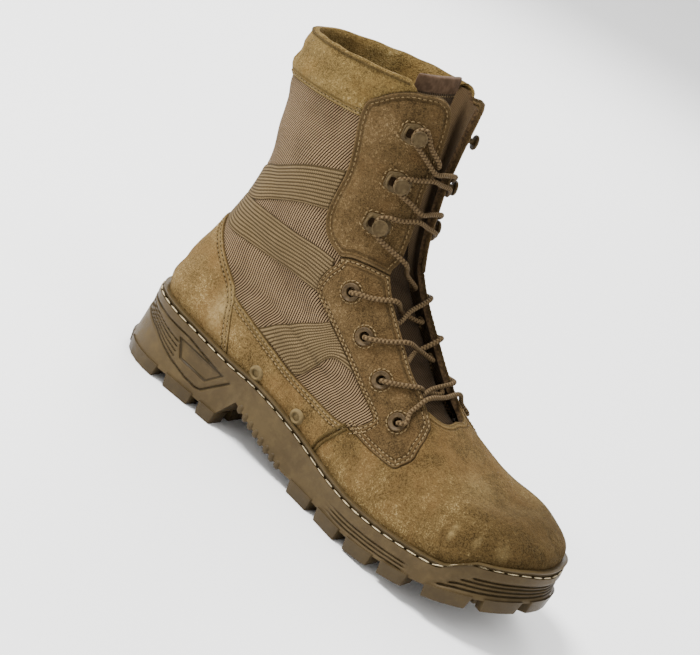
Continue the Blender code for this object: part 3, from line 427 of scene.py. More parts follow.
class Signal:
    """An output of a node; a sum on signals adds the nodes that work it out."""

    def __init__(self, socket):
        self.socket = socket
        self.tree = socket.id_data

    def __add__(self, other):
        return maths("ADD", self, other)

    def __sub__(self, other):
        return maths("SUBTRACT", self, other)

    def __rsub__(self, other):
        return maths("SUBTRACT", other, self)

    def __mul__(self, other):
        return maths("MULTIPLY", self, other)

    def __truediv__(self, other):
        return maths("DIVIDE", self, other)


def fill(tree, made, feeds):
    """Feed a node's sockets, by name or number, with signals, numbers or colours."""
    for key, value in feeds.items():
        socket = made.inputs[key]
        if isinstance(value, Signal):
            tree.links.new(value.socket, socket)
        else:
            socket.default_value = (*value, 1) if socket.type == "RGBA" else value


def node(tree, kind, setup=None, feeds=None, output=0):
    """Add a node, set its properties, feed its sockets, and give one of its outputs."""
    made = tree.nodes.new("ShaderNode" + kind)
    for key, value in (setup or {}).items():
        setattr(made, key, value)
    fill(tree, made, feeds or {})
    return Signal(made.outputs[output])


def maths(operation, *feeds):
    """The outcome of one sum on numbers and signals."""
    tree = next(feed.tree for feed in feeds if isinstance(feed, Signal))
    return node(tree, "Math", {"operation": operation}, dict(enumerate(feeds)))


def span(value, low, high, to_low=0.0, to_high=1.0):
    """A signal eased from one span to another and held there."""
    return node(value.tree, "MapRange", {"interpolation_type": "SMOOTHSTEP"},
                {0: value, 1: low, 2: high, 3: to_low, 4: to_high})


def mix(share, first, second, blend="MIX"):
    """Two colours mixed by a share."""
    return node(share.tree, "Mix", {"data_type": "RGBA", "blend_type": blend},
                {0: share, 6: first, 7: second}, output=2)


def speckle(where, scale, detail=3.0, roughness=0.55):
    """Soft random cloud of a given scale."""
    return node(where.tree, "TexNoise", None,
                {"Vector": where, "Scale": scale, "Detail": detail, "Roughness": roughness})


def attribute(tree, name):
    """A number stored at each point of a piece."""
    return node(tree, "Attribute", {"attribute_name": name}, output="Fac")


def object_place(tree):
    """Each point's own place on the piece, in metres."""
    return node(tree, "TexCoord", output="Object")


def named(sockets):
    """Signals by the names of their sockets."""
    return {socket.name: Signal(socket) for socket in sockets}


def group(name, inputs, outputs, build):
    """A shared network: inputs with their usual values, outputs by name, and a function to fill it."""
    kinds = {True: "NodeSocketColor", False: "NodeSocketFloat"}
    tree = bpy.data.node_groups.new(name, "ShaderNodeTree")
    for label, value in inputs.items():
        is_colour = isinstance(value, tuple)
        socket = tree.interface.new_socket(label, in_out="INPUT", socket_type=kinds[is_colour])
        socket.default_value = (*value, 1) if is_colour else value
    for label in outputs:
        tree.interface.new_socket(label, in_out="OUTPUT", socket_type=kinds[label == "Colour"])
    entry = tree.nodes.new("NodeGroupInput")
    leave = tree.nodes.new("NodeGroupOutput")
    fill(tree, leave, build(tree, named(entry.outputs)))
    return tree


def use(tree, shared, feeds):
    """Place a shared network in a material and give its outputs by name."""
    made = tree.nodes.new("ShaderNodeGroup")
    made.node_tree = shared
    fill(tree, made, feeds)
    return named(made.outputs)


def shade(name, look_of, roughness, depth, **constants):
    """A material whose colour and bump, and its roughness if it varies, are built on its own tree."""
    made = bpy.data.materials.new(name)
    made.use_nodes = True
    tree = made.node_tree
    look = look_of(tree)
    bump = node(tree, "Bump", None, {"Strength": 1.0, "Distance": depth, "Height": look["Height"]})
    fill(tree, tree.nodes["Principled BSDF"], {
        "Base Color": look["Colour"], "Roughness": look.get("Roughness", roughness), "Normal": bump,
        **{key.replace("_", " "): value for key, value in constants.items()}})
    return made


# %% [markdown]
# ## Rough-out leather
# The flesh side of a hide has a short nap: fibres lie this way and that, so patches catch the light
# or go dark, and rubbed places turn pale. Clouds of four sizes do it: broad wear, hand-sized
# mottling, tufts, and fibres. An attribute called `edge` holds each point's distance to the nearest
# seam, in millimetres, and from it come the dark cut edge, the pressed stitch lines and the pale rub.

# %% The nap and seam networks


def build_nap(tree, given):
    where = object_place(tree)
    broad = span(speckle(where, 20.0, 2.0), 0.34, 0.68)
    mottle = span(speckle(where, 95.0, 3.0, 0.6), 0.3, 0.7)
    tuft = span(speckle(where, 480.0, 3.0, 0.6), 0.3, 0.7)
    fibre = span(speckle(where, 1250.0, 2.0, 0.7), 0.3, 0.7)
    share = broad * 0.2 + mottle * 0.17 + tuft * 0.17 + fibre * 0.38 + 0.05 + given["Bias"]
    colour = mix(span(share, 0.2, 0.62), given["Dark"], given["Middle"])
    colour = mix(span(share, 0.62, 0.92), colour, given["Light"])
    warm = span(speckle(where, 45.0, 2.0), 0.42, 0.7, 0.0, 0.45)
    return {"Colour": mix(warm, colour, given["Warm"]), "Height": tuft * 0.5 + fibre * 0.6 + mottle * 0.7,
            "Roughness": mottle * -0.12 + 0.95}


NAP = group("nap", {"Dark": (0.05, 0.03, 0.015), "Middle": (0.2, 0.12, 0.05), "Light": (0.4, 0.3, 0.15),
                    "Warm": (0.22, 0.11, 0.04), "Bias": 0.0}, ("Colour", "Height", "Roughness"), build_nap)


SEAM_ROWS = (1.8, 4.2)     # millimetres from a panel's edge to its two rows of stitches


def build_seam(tree, given):
    away = attribute(tree, "edge") + (speckle(object_place(tree), 500.0) * 0.5 - 0.25)
    rows = [span(maths("ABSOLUTE", away - given[label]), 0.25, 0.95, 1.0, 0.0)
            for label in ("First", "Second")]
    return {"Groove": maths("MAXIMUM", *rows), "Cut": span(away, 0.1, 0.8, 1.0, 0.0),
            "Rub": span(away, 0.5, 1.2) * span(away, 1.4, 3.5, 1.0, 0.0)}


SEAM = group("seam", {"First": SEAM_ROWS[0], "Second": SEAM_ROWS[1]}, ("Groove", "Cut", "Rub"), build_seam)


def rub_and_highlight_patch(tree, centre, reach, amount):
    """A mask for pale wear and painted highlight that fades out from a centre to its reach in millimetres,
    broken up by the nap.
    """
    where = object_place(tree)
    for operation, sizes in (("SUBTRACT", centre), ("DIVIDE", reach)):
        where = node(tree, "VectorMath", {"operation": operation},
                     {0: where, 1: tuple(size * MM for size in sizes)})
    away = node(tree, "VectorMath", {"operation": "LENGTH"}, {0: where}, output=1)
    nap = span(speckle(object_place(tree), 420.0, 3.0), 0.3, 0.65, 0.25, 1.0)
    return span(away, 0.15, 1.1, amount, 0.0) * nap


def leather(name, dark, middle, light, warm, bias=0.0, rows=SEAM_ROWS, painted_toe_shade=0.0, rubs_and_highlights=()):
    """Rough-out leather with pressed seams; a toe amount paints shade that greys the toe, and the rub
    patches are pale places, partly wear and partly painted highlight.
    """
    def look_of(tree):
        nap = use(tree, NAP, {"Dark": dark, "Middle": middle, "Light": light, "Warm": warm, "Bias": bias})
        seam = use(tree, SEAM, {"First": rows[0], "Second": rows[1]})
        look = mix(seam["Rub"] * 0.32, nap["Colour"], light)
        look = mix(seam["Groove"] * 0.55, look, dark)
        look = mix(seam["Cut"] * 0.75, look, tuple(c * 0.55 for c in dark))
        for rub in rubs_and_highlights:
            look = mix(rub_and_highlight_patch(tree, *rub), look, light)
        # Painted shade: the colour is multiplied towards grey over the front of the toe.
        if painted_toe_shade:
            forward = node(tree, "SeparateXYZ", None, {0: object_place(tree)})
            patch = speckle(object_place(tree), 30.0) * 0.05 - 0.025
            look = mix(span(forward + patch, 0.07, 0.135, 0.0, painted_toe_shade), look, (0.42, 0.42, 0.42),
                       "MULTIPLY")
        return {"Colour": look, "Height": seam["Groove"] * -1.1 + nap["Height"],
                "Roughness": nap["Roughness"]}

    return shade(name, look_of, 0.95, 0.0007, Sheen_Weight=0.08, Sheen_Roughness=0.5,
                 Sheen_Tint=(0.8, 0.6, 0.3), Specular_IOR_Level=0.03)


# The pale patch on the counter is partly burnished nap and partly a painted highlight.
HEEL_RUB_AND_HIGHLIGHT = (((-95, -34, 60), (9, 12, 22), 0.55),)                  # centre, reach, amount
TOE_RUBS = (((103, -50.5, 51), (3, 5, 9), 0.75), ((117, -47, 53), (3, 4, 7), 0.55),
            ((130, -40, 55), (6, 5, 9), 0.4), ((92, -20, 68), (16, 14, 9), 0.3))
SUEDE = leather("suede", (0.044, 0.027, 0.0095), (0.14, 0.089, 0.0335), (0.32, 0.232, 0.104),
                (0.144, 0.08, 0.028), 0.02, rubs_and_highlights=HEEL_RUB_AND_HIGHLIGHT)
# The vamp's suede greys towards the toe as painted shade, and gets pale patches round the toe.
SUEDE_VAMP = leather("suede_vamp", (0.038, 0.023, 0.008), (0.112, 0.07, 0.025), (0.26, 0.186, 0.08),
                     (0.122, 0.068, 0.024), 0.02, painted_toe_shade=0.75, rubs_and_highlights=TOE_RUBS)
SUEDE_DARK = leather("suede_dark", (0.028, 0.017, 0.007), (0.085, 0.053, 0.022), (0.178, 0.12, 0.058),
                     (0.1, 0.056, 0.022))
SUEDE_GOLD = leather("suede_gold", (0.05, 0.031, 0.01), (0.145, 0.096, 0.033), (0.32, 0.235, 0.1),
                     (0.155, 0.09, 0.027), 0.05, rows=(2.0, 3.8))
print("leather finishes made")

# %% [markdown]
# ## Nylon cloth and webbing
# The windows are a heavy nylon: twisted yarns lie in steep diagonal cords, in the yarn's colour on
# top, with near-black painted shade between. The pattern runs on the piece's own UV map in millimetres, so
# it follows the ankle.
# Webbing has cords along its length, crossed by finer picks.

# %% Cloth networks
FAR_ROW = 50.0             # millimetres: a stitch row that no point of the cloth reaches


def build_cords(tree, given):
    flat = node(tree, "UVMap")
    u, v = (node(tree, "SeparateXYZ", None, {0: flat}, output=axis) for axis in (0, 1))
    cosine, sine = maths("COSINE", given["Angle"]), maths("SINE", given["Angle"])
    wander = speckle(object_place(tree), 260.0, 2.0) * 0.7 - 0.35
    turn = (v * cosine - u * sine) * (2 * math.pi) / given["Pitch"] + wander
    step = (u * cosine + v * sine) * (2 * math.pi) / given["Pick"]
    cord = maths("SINE", turn) * 0.5 + 0.5
    cord_number = maths("FLOOR", turn * (0.5 / math.pi) + 0.25)
    pick = maths("SINE", cord_number * math.pi + step) * 0.5 + 0.5
    twist = pick * given["Twist"] + (1.0 - given["Twist"])
    height = maths("POWER", cord, 0.75) * twist + speckle(object_place(tree), 2400.0, 2.0) * 0.25
    # Painted shade: low places between the cords take the near-black gap colour, the tops the yarn's own
    # colour.
    colour = mix(span(height, 0.36, 0.62), given["Gap"], given["Yarn"])
    patch = span(speckle(object_place(tree), 55.0, 3.0), 0.35, 0.7, 0.0, 0.22)
    return {"Colour": mix(patch, colour, given["Gap"]), "Height": height}


CORDS = group("cords", {"Angle": 1.0, "Pitch": 1.3, "Pick": 2.6, "Twist": 0.45,
                        "Gap": (0.02, 0.012, 0.01), "Yarn": (0.2, 0.14, 0.1)},
              ("Colour", "Height"), build_cords)


def cloth(name, angle, pitch, pick, gap, yarn, depth=0.0005, twist=0.45):
    """A corded cloth at an angle in degrees; pitch and pick are millimetres."""
    def look_of(tree):
        cords = use(tree, CORDS, {"Angle": math.radians(angle), "Pitch": pitch, "Pick": pick,
                                  "Twist": twist, "Gap": gap, "Yarn": yarn})
        seam = use(tree, SEAM, {"First": FAR_ROW, "Second": FAR_ROW})
        look = mix(seam["Cut"] * 0.8, cords["Colour"], tuple(c * 0.6 for c in gap))
        return {"Colour": look, "Height": cords["Height"]}

    return shade(name, look_of, 0.92, depth, Sheen_Weight=0.02, Sheen_Roughness=0.4,
                 Specular_IOR_Level=0.05)


WINDOW_CLOTH = cloth("window_cloth", 126, 1.25, 2.2, (0.006, 0.003, 0.001), (0.205, 0.138, 0.075), 0.0006)
WEBBING = cloth("webbing", 0, 2.0, 1.25, (0.04, 0.027, 0.012), (0.135, 0.095, 0.048), 0.0004, 0.58)
# The lining is darker than its real tan: painted shade for the inside of the shaft and the insole.
SHADED_LINING = cloth("lining", 45, 0.9, 0.9, (0.035, 0.021, 0.01), (0.095, 0.062, 0.03), 0.0002)
MESH_CLOTH = cloth("tongue_mesh", 45, 1.15, 1.15, (0.03, 0.018, 0.009), (0.16, 0.108, 0.058))
print("cloth finishes made")

# %% [markdown]
# ## Rubber, thread, lace and painted brass
# The sole is one satin rubber: almost smooth, with a fine grain from the mould and a pale bloom of
# dust. Thread is twisted and pale, the lace is braided from two browns, and the
# eyelets are brass under dull brown paint.

# %% Rubber, thread, lace and metal


def build_bloom(tree, given):
    where = object_place(tree)
    cloud = span(speckle(where, 38.0, 4.0, 0.6), 0.4, 0.72)
    streak = span(speckle(where, 170.0, 4.0, 0.65), 0.42, 0.75)
    dust = streak * 0.45 + cloud * 0.55
    return {"Colour": mix(dust * given["Amount"], given["Rubber"], given["Dust"]),
            "Height": cloud * 0.6 + speckle(where, 2600.0, 2.0) * 0.35,
            "Roughness": span(dust, 0.0, 1.0, 0.46, 0.72)}


BLOOM = group("bloom", {"Rubber": (0.1, 0.07, 0.04), "Dust": (0.2, 0.16, 0.1), "Amount": 0.5},
              ("Colour", "Height", "Roughness"), build_bloom)


def rubber(name, base, dust, amount, shaded_grooves=False):
    """Moulded rubber; with the groove flag on it sinks near the moulded lines, and painted shade darkens
    them.
    """
    def look_of(tree):
        look = use(tree, BLOOM, {"Rubber": base, "Dust": dust, "Amount": amount})
        if shaded_grooves:
            line = attribute(tree, "edge")
            # Painted shade: the colour falls to a fifth of the rubber's in the moulded grooves.
            look["Colour"] = mix(span(line, 0.1, 0.85, 0.7, 0.0), look["Colour"],
                                 tuple(c * 0.22 for c in base))
            look["Height"] = span(line, 0.1, 0.8) * 3.0 + look["Height"]
        return look

    return shade(name, look_of, 0.6, 0.00025, Specular_IOR_Level=0.12)


RUBBER_SIDE = rubber("rubber_side", (0.043, 0.028, 0.0105), (0.098, 0.068, 0.03), 0.6, True)
RUBBER_LIP = rubber("rubber_lip", (0.048, 0.032, 0.012), (0.1, 0.07, 0.031), 0.55)
RUBBER_TREAD = rubber("rubber_tread", (0.035, 0.023, 0.009), (0.076, 0.053, 0.024), 0.55)


def plain(name, dark, light, grain, roughness, specular):
    """A fine two-tone finish for small parts."""
    def look_of(tree):
        cloud = speckle(object_place(tree), grain, 3.0)
        return {"Colour": mix(span(cloud, 0.35, 0.65), dark, light), "Height": cloud}

    return shade(name, look_of, roughness, 0.0002, Specular_IOR_Level=specular)


SMALL_FINISHES = (          # name, dark tone, light tone, grain, roughness, specular level
    ("thread", (0.095, 0.064, 0.028), (0.225, 0.16, 0.08), 1500, 0.85, 0.06),
    ("sole_thread", (0.22, 0.165, 0.085), (0.5, 0.41, 0.25), 1500, 0.8, 0.5),
    # Near-black painted shade for the needle holes and the hooks' slots.
    ("needle_hole", (0.01, 0.006, 0.003), (0.02, 0.012, 0.006), 900, 0.95, 0.03),
    ("painted_brass", (0.042, 0.027, 0.012), (0.072, 0.048, 0.023), 420, 0.55, 0.1),
    ("vent_rubber", (0.085, 0.06, 0.026), (0.125, 0.088, 0.038), 300, 0.7, 0.1),
    ("hook_plate", (0.045, 0.03, 0.013), (0.072, 0.05, 0.023), 380, 0.5, 0.08),
    ("binding", (0.05, 0.029, 0.016), (0.08, 0.048, 0.028), 240, 0.85, 0.08),
    ("folded_edge", (0.022, 0.013, 0.006), (0.055, 0.033, 0.015), 700, 0.9, 0.08),
)
(THREAD, SOLE_THREAD, NEEDLE_HOLE_SHADE, BRASS, VENT_RUBBER, HOOK_BRASS, BINDING,
 FOLDED_EDGE) = (plain(*row) for row in SMALL_FINISHES)
BRAID_PITCH = 2.3


def braid(tree):
    """Strands that wind round a cord; the attributes are millimetres along it and its angle."""
    along = attribute(tree, "along") * (2 * math.pi / BRAID_PITCH)
    around = maths("ARCTAN2", attribute(tree, "sine"), attribute(tree, "cosine")) * 2.0
    one, two = maths("SINE", along + around), maths("SINE", along - around)
    height = one * 0.35 + 0.5 + two * 0.08 + speckle(object_place(tree), 2600.0, 2.0) * 0.3
    yarn = mix(span(two, -0.4, 0.5), (0.078, 0.051, 0.024), (0.12, 0.081, 0.041))
    # Painted shade: the low places between the strands go near black.
    return {"Colour": mix(span(height, 0.15, 0.75), (0.03, 0.018, 0.008), yarn), "Height": height}


LACE = shade("lace", braid, 0.88, 0.0006, Specular_IOR_Level=0.06)
print("finishes made:", len(bpy.data.materials))

# %% [markdown]
# ## Keeping a piece
# Every piece ends the same way: its mesh goes from the last's millimetres to the record's metres,
# gets its materials and smooth shading with sharp folds kept, rides on the boot's one body, and
# hides the solids that it stands for.

# %% Finish a piece


def keep(work, name, looks, replaced=(), sharp=42.0):
    """Turn a finished bmesh into a piece of the scene."""
    mesh = mesh_of(work, name)
    mesh.transform(Matrix.Scale(MM, 4) @ Matrix.Translation(SHIFT))
    for look in looks:
        mesh.materials.append(look)
    mesh.shade_smooth()
    mesh.set_sharp_from_angle(angle=math.radians(sharp))
    made = add(name, mesh)
    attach(made, "root")
    if replaced:
        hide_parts(*replaced)
    print(f"{name}: {sum(len(p.vertices) - 2 for p in mesh.polygons)} triangles")
    return made


def face_out(work):
    """Turn a closed mesh's faces so that they point out of it."""
    bmesh.ops.recalc_face_normals(work, faces=work.faces)
    if work.calc_volume(signed=True) < 0:
        bmesh.ops.reverse_faces(work, faces=work.faces)


# %% [markdown]
# ## Smooth edges from a few points
# A pattern maker draws an edge through a few marks with a bendy spline. `curve` does the same, and
# leaves a point every 2 mm. Where two edges meet, the corner stays.

# %% Curves on the map


def bend(marks, fineness):
    """A smooth line through marks, with so many points for each mark."""
    run = run_of(marks)
    slope = np.gradient(marks, run, axis=0)
    fine = np.linspace(0, run[-1], fineness * len(marks))
    i = np.clip(np.searchsorted(run, fine, "right") - 1, 0, len(marks) - 2)
    wide = (run[i + 1] - run[i])[:, None]
    t = (fine - run[i])[:, None] / wide
    return hermite(t, marks[i], wide * slope[i], marks[i + 1], wide * slope[i + 1])


def curve(line, side=-1, back=False, gap=2.0):
    """A smooth line through marks of per cents, as pattern points a gap apart."""
    points = np.array([place(q, v, side, back) for q, v in line])
    if len(points) > 2:
        points = bend(points, 12)
    count = max(2, int(run_of(points)[-1] / gap) + 1)
    return by_girth(points, np.linspace(0, 1, count))


def both(line):
    """A line counted from the back, on the inner side and on the outer side."""
    return [curve(line, side, True) for side in (-1, 1)]


def outline(*lines):
    """Lines joined end to end into one closed edge."""
    points = [lines[0][0]]
    for point in np.concatenate(lines):
        if np.linalg.norm(point - points[-1]) > 0.3:
            points.append(point)
    if np.linalg.norm(points[0] - points[-1]) < 0.3:
        points.pop()
    return np.array(points)


def slopes_at(flat):
    """How far the skin moves for one unit across and one unit up, at each pattern point."""
    flat = np.atleast_2d(np.asarray(flat, dtype=float))[:, :2]
    ends = []
    for step in ((1, 0), (-1, 0), (0, 1), (0, -1)):
        ends.append(wrap(np.c_[flat + np.array(step), np.zeros(len(flat))]))
    return (ends[0] - ends[1]) / 2, (ends[2] - ends[3]) / 2


def beside(line, distance):
    """A line moved sideways by true millimetres: more than 0 is to the left of its run."""
    line = np.asarray(line, dtype=float)
    across, up = slopes_at(line)
    step = np.gradient(line, axis=0)
    moved = []
    for a, u, s, point in zip(across, up, step, line):
        run = a * s[0] + u * s[1]
        side = np.cross(np.cross(a, u), run)
        side *= distance / np.linalg.norm(side)
        moved.append(point + np.linalg.lstsq(np.stack([a, u], axis=1), side, rcond=None)[0])
    return np.array(moved)


# %% [markdown]
# ## Cutting a panel
# One face takes the whole outline. Insets run rings along the edge, where the thickness rounds over
# and a rim can stand, and straight cuts lay a grid over the rest. The face is then extruded to give
# an underside, lifted by its distance from the edge, and wrapped. Drawing each panel's mesh by hand
# would take days, and a boolean against the last would lose the even grid.

# %% The panel cutter
GRID_CELL = 2.2
EDGE_SECTION = ((0, 0.45), (0.3, 0.8), (0.9, 1.0), (1.9, 1.0))      # distance in, share of thickness


def cut_hole(work, centre, radius, sides=14):
    """Cut a round hole of true radius into a flat panel."""
    across, up = slopes_at([centre])
    to_map = np.linalg.pinv(np.stack([across[0], up[0]], axis=1))
    first = across[0] / np.linalg.norm(across[0])
    second = np.cross(np.cross(first, up[0]), first)
    second /= np.linalg.norm(second)
    ring = []
    for i in range(sides):
        turn = 2 * math.pi * i / sides
        ring.append(np.asarray(centre) + to_map @ (radius * (math.cos(turn) * first
                                                             + math.sin(turn) * second)))
    middle = Vector((*centre, 0))
    reach = 2.2 * radius
    for a, b in zip(ring, ring[1:] + ring[:1]):
        near = [f for f in work.faces if (f.calc_center_median() - middle).length < reach]
        geometry = list({x for f in near for x in (*f.verts, *f.edges)}) + near
        step = b - a
        bmesh.ops.bisect_plane(work, geom=geometry, plane_co=(*a, 0), plane_no=(step[1], -step[0], 0))
    ring = np.array(ring)

    def inside(point):
        edge = np.roll(ring, -1, axis=0) - ring
        gone = np.array([point.x, point.y]) - ring
        turn = edge[:, 0] * gone[:, 1] - edge[:, 1] * gone[:, 0]
        return bool((turn > -1e-6).all() or (turn < 1e-6).all())

    gone = [f for f in work.faces if inside(f.calc_center_median())]
    bmesh.ops.delete(work, geom=gone, context="FACES")


def panel(edge, thickness, section=EDGE_SECTION, seams=None, cell=GRID_CELL, holes=(),
          hole_radius=4.2, lay=wrap, weave=girth_map, puff=None, weld=False, depth=0.0, under=0, rim=0):
    """A closed panel from its edge on the map, laid round the last."""
    work = bmesh.new()
    face = work.faces.new([work.verts.new((x, y, 0)) for x, y in edge])
    done = 0.0
    for distance, _ in section[1:]:
        bmesh.ops.inset_region(work, faces=[face], thickness=distance - done, use_boundary=True,
                               use_even_offset=True)
        done = distance
    for axis in (0, 1):
        start, stop = edge[:, axis].min(), edge[:, axis].max()
        for line in np.arange(math.ceil(start / cell) * cell, stop, cell):
            if line - start < 0.2 or stop - line < 0.2:
                continue
            where = [0.0, 0.0, 0.0]
            where[axis] = line
            facing_cut = [0.0, 0.0, 0.0]
            facing_cut[axis] = 1.0
            bmesh.ops.bisect_plane(work, geom=work.verts[:] + work.edges[:] + work.faces[:],
                                   plane_co=where, plane_no=facing_cut)
    for centre in holes:
        cut_hole(work, centre, hole_radius)
    grown = bmesh.ops.extrude_face_region(work, geom=list(work.faces))
    top = {v for v in grown["geom"] if isinstance(v, bmesh.types.BMVert)}
    if weld:
        ends = [f for f in work.faces if all(abs(abs(v.co.x) - HALF_TURN) < 1e-3 for v in f.verts)]
        bmesh.ops.delete(work, geom=ends, context="FACES")
    for f in work.faces:
        on_top = sum(v in top for v in f.verts)
        f.material_index = under if on_top == 0 else (0 if on_top == len(f.verts) else rim)
    work.verts.ensure_lookup_table()
    flat = np.array([tuple(v.co) for v in work.verts])
    skin = lay(np.c_[flat[:, :2], np.zeros(len(flat))])
    closed = np.concatenate([edge, edge[:1]])
    from_edge = near_line(skin, lay(np.c_[closed, np.zeros(len(closed))]))
    rise = np.interp(from_edge, *zip(*section)) * thickness
    if puff is not None:
        rise = rise + puff(flat, from_edge)
    is_top = np.array([v in top for v in work.verts])
    flat[:, 2] = np.where(is_top, rise, -depth)
    uv = work.loops.layers.uv.new("UVMap")
    spread = weave(flat)
    for f in work.faces:
        for loop in f.loops:
            loop[uv].uv = spread[loop.vert.index]
    mark = work.verts.layers.float.new("edge")
    if seams is None:
        from_seam = from_edge
    else:
        from_seam = np.full(len(flat), 90.0)
        for line in seams:
            from_seam = np.minimum(from_seam, near_line(skin, lay(np.c_[line, np.zeros(len(line))])))
    placed = lay(flat)
    for vertex, point, off in zip(work.verts, placed, from_seam):
        vertex.co = point
        vertex[mark] = off
    if weld:
        bmesh.ops.remove_doubles(work, verts=[v for v in work.verts if v.is_boundary], dist=2e-2)
    bmesh.ops.remove_doubles(work, verts=work.verts, dist=1e-4)
    bmesh.ops.triangulate(work, faces=[f for f in work.faces if len(f.verts) > 4])
    if not weld:
        face_out(work)
    return work


# %% [markdown]
# ## Edges of the panels
# The marks are per cents of the map, from the heel's back to the front centre and from the sole's
# edge to the collar. Neighbouring panels share their edges, as they do on the real boot.

# %% Marks of the edges
COUNTER_EDGE = ((0, 47.5), (7.5, 46.3), (12, 43.8), (17.5, 38.8), (21, 33), (22.2, 28.5),
                (23.4, 20), (25, 10), (25.6, 1))
SADDLE_TOP = ((54.3, 24.9), (50, 22.9), (44.2, 21.8), (38.3, 21.4), (33.3, 23.2), (29.2, 25.5),
              (25, 27.5), (22.2, 28.5))
VAMP_SIDE = ((49.2, 1), (49.2, 7.5), (50.3, 15), (52.5, 21.5), (54.3, 24.9))
STAY_FOOT = ((54.3, 24.9), (55.8, 25.3), (60.8, 25.6), (64.2, 25.8), (67.2, 26.4), (69.2, 28.8),
             (80, 42), (85.8, 46.3), (89.2, 49), (90, 51.3))
LOW_FLAP_EDGE = ((90, 51.3), (90, 53.7), (88.3, 56.2), (87.5, 60), (86.7, 63.8), (86.3, 66.5),
                 (86.3, 69.1))
STAY_JOIN = ((86.3, 69.1), (81.7, 69.1), (75.8, 68.8), (68.3, 67.9), (64, 66.9))
LOW_STAY_BACK = ((64, 66.9), (63, 66), (59.2, 64), (55, 61.5), (51, 57.8), (49.5, 55), (52.5, 52.5),
                 (56.7, 48.9), (59.2, 46), (61, 42.5), (63.3, 38.6), (60, 32), (54.3, 24.9))
TOP_STAY_BACK = ((64, 66.9), (60, 67.5), (57, 69), (56.2, 71.3), (56.9, 73.8), (58.3, 76.3),
                 (60, 80), (60, 85), (59, 88.8), (58.3, 92))
TOP_STAY_SHOULDER = ((58.3, 92), (58.3, 94), (62.5, 96.3), (69.2, 98.6), (74, 99.5))
TOP_FLAP_EDGE = ((74, 99.5), (86, 99.5), (88.4, 98.6), (90.8, 96), (92.4, 91.3), (92.5, 80),
                 (92.6, 75), (90.5, 71.6), (86.6, 69.5), (86.3, 69.1))
CUFF_BOTTOM = ((58.3, 91.3), (37.5, 91.3), (24, 91.2), (12, 90.8), (0, 90))
THROAT_BASE = ((100, 51), (94, 50.4), (90, 51.3))
EYELETS = ((67.5, 62.5), (70.8, 56.2), (74.2, 50), (75, 43.8))
HOOKS = ((79.2, 75), (81.7, 82.5), (80.8, 92.5))
VENTS = ((32.5, 8.6), (43.3, 9.4))


def eyelet_places(side):
    """Pattern points of one side's eyelets."""
    return [place(q, v, side) for q, v in EYELETS]


print("panels have", sum(len(line) for line in (COUNTER_EDGE, SADDLE_TOP, VAMP_SIDE)), "marks so far")

# %% [markdown]
# ## The shell of the upper
# Under the leather the whole boot is one padded shell: nylon outside, lining inside. It is one panel
# that goes right round, with the throat slot and the holes cut out, and its ends are welded down the
# back. Its faces are two-sided in finish: cloth out, lining in.

# %% Shell
SHELL_FLAP = ((86, 98.4), (88.0, 97.6), (90.2, 95.4), (91.8, 91.3), (91.9, 80), (92, 75), (90.1, 71.8),
              (86.4, 69.9), (86.1, 69.1))
throat_in = np.concatenate([
    curve(SHELL_FLAP), curve(LOW_FLAP_EDGE)[::-1][1:], curve(THROAT_BASE)[::-1][1:],
])
throat_out = throat_in[::-1] * np.array((-1, 1))
along_top = np.linspace(-HALF_TURN, throat_in[0][0], 90)
top_in = np.stack([along_top, FULL_HEIGHT - 3.7 * eased(along_top, (-66, -50))], axis=1)
top_out = top_in[::-1] * np.array((-1, 1))
base_line = np.array([(x, 0.0) for x in np.linspace(HALF_TURN, -HALF_TURN, 201)])
shell_edge = outline(top_in, throat_in, throat_out, top_out, base_line)
shell = panel(shell_edge, 0.0, section=((0, 0),), cell=2.0, depth=WALL, weld=True, under=1, rim=2,
              holes=eyelet_places(-1) + eyelet_places(1), seams=(np.array([(0, 500), (1, 500)]),))
face_out(shell)
keep(shell, "boot_shell", (WINDOW_CLOTH, SHADED_LINING, FOLDED_EDGE), ("upper",))

# %% [markdown]
# ## Leather panels
# Vamp, saddles, counter and eyestays are rough-out leather of 1.2 to 1.8 mm. Each edge rounds over
# a little, as skived leather does. The top eyestay has a rolled rim, so its section stands up in a
# bead along the edge and dips where the stitches pull it down.

# %% Vamp, saddles, counter, straps and eyestays
ROLLED = ((0, 0.3), (0.3, 0.95), (0.9, 1.4), (1.6, 1.5), (2.3, 1.15), (2.8, 0.72), (3.5, 0.95), (4.6, 1.0))
STRAPS = {                  # upper edge, front end, lower edge
    "ankle": (((4.6, 65.5), (8.3, 67.5), (25, 72.5), (45, 77.5), (60, 80)),
              ((60, 80), (58.3, 76.3), (56.9, 73.8), (56.4, 72.6)),
              ((56.4, 72.6), (42.5, 70), (23.3, 63.8), (13.5, 58.8), (4.6, 56.3))),
    "heel": (((4.6, 56.3), (13.5, 58.8), (25.8, 61.3), (42.5, 63.8), (53.3, 65.2), (60.6, 65.6)),
             ((60.6, 65.6), (59.2, 64), (55, 61.5), (51, 57.8), (49.5, 55)),
             ((49.5, 55), (38.3, 53.7), (30, 51.3), (20, 48.8), (11, 46.8), (4.6, 47.6))),
    "arch": (((29.2, 25.5), (38.3, 40), (54.2, 51)),
             ((54.2, 51), (56.7, 48.9), (59.2, 46), (60.2, 44.2)),
             ((60.2, 44.2), (55, 43.6), (39.5, 21.5))),
}


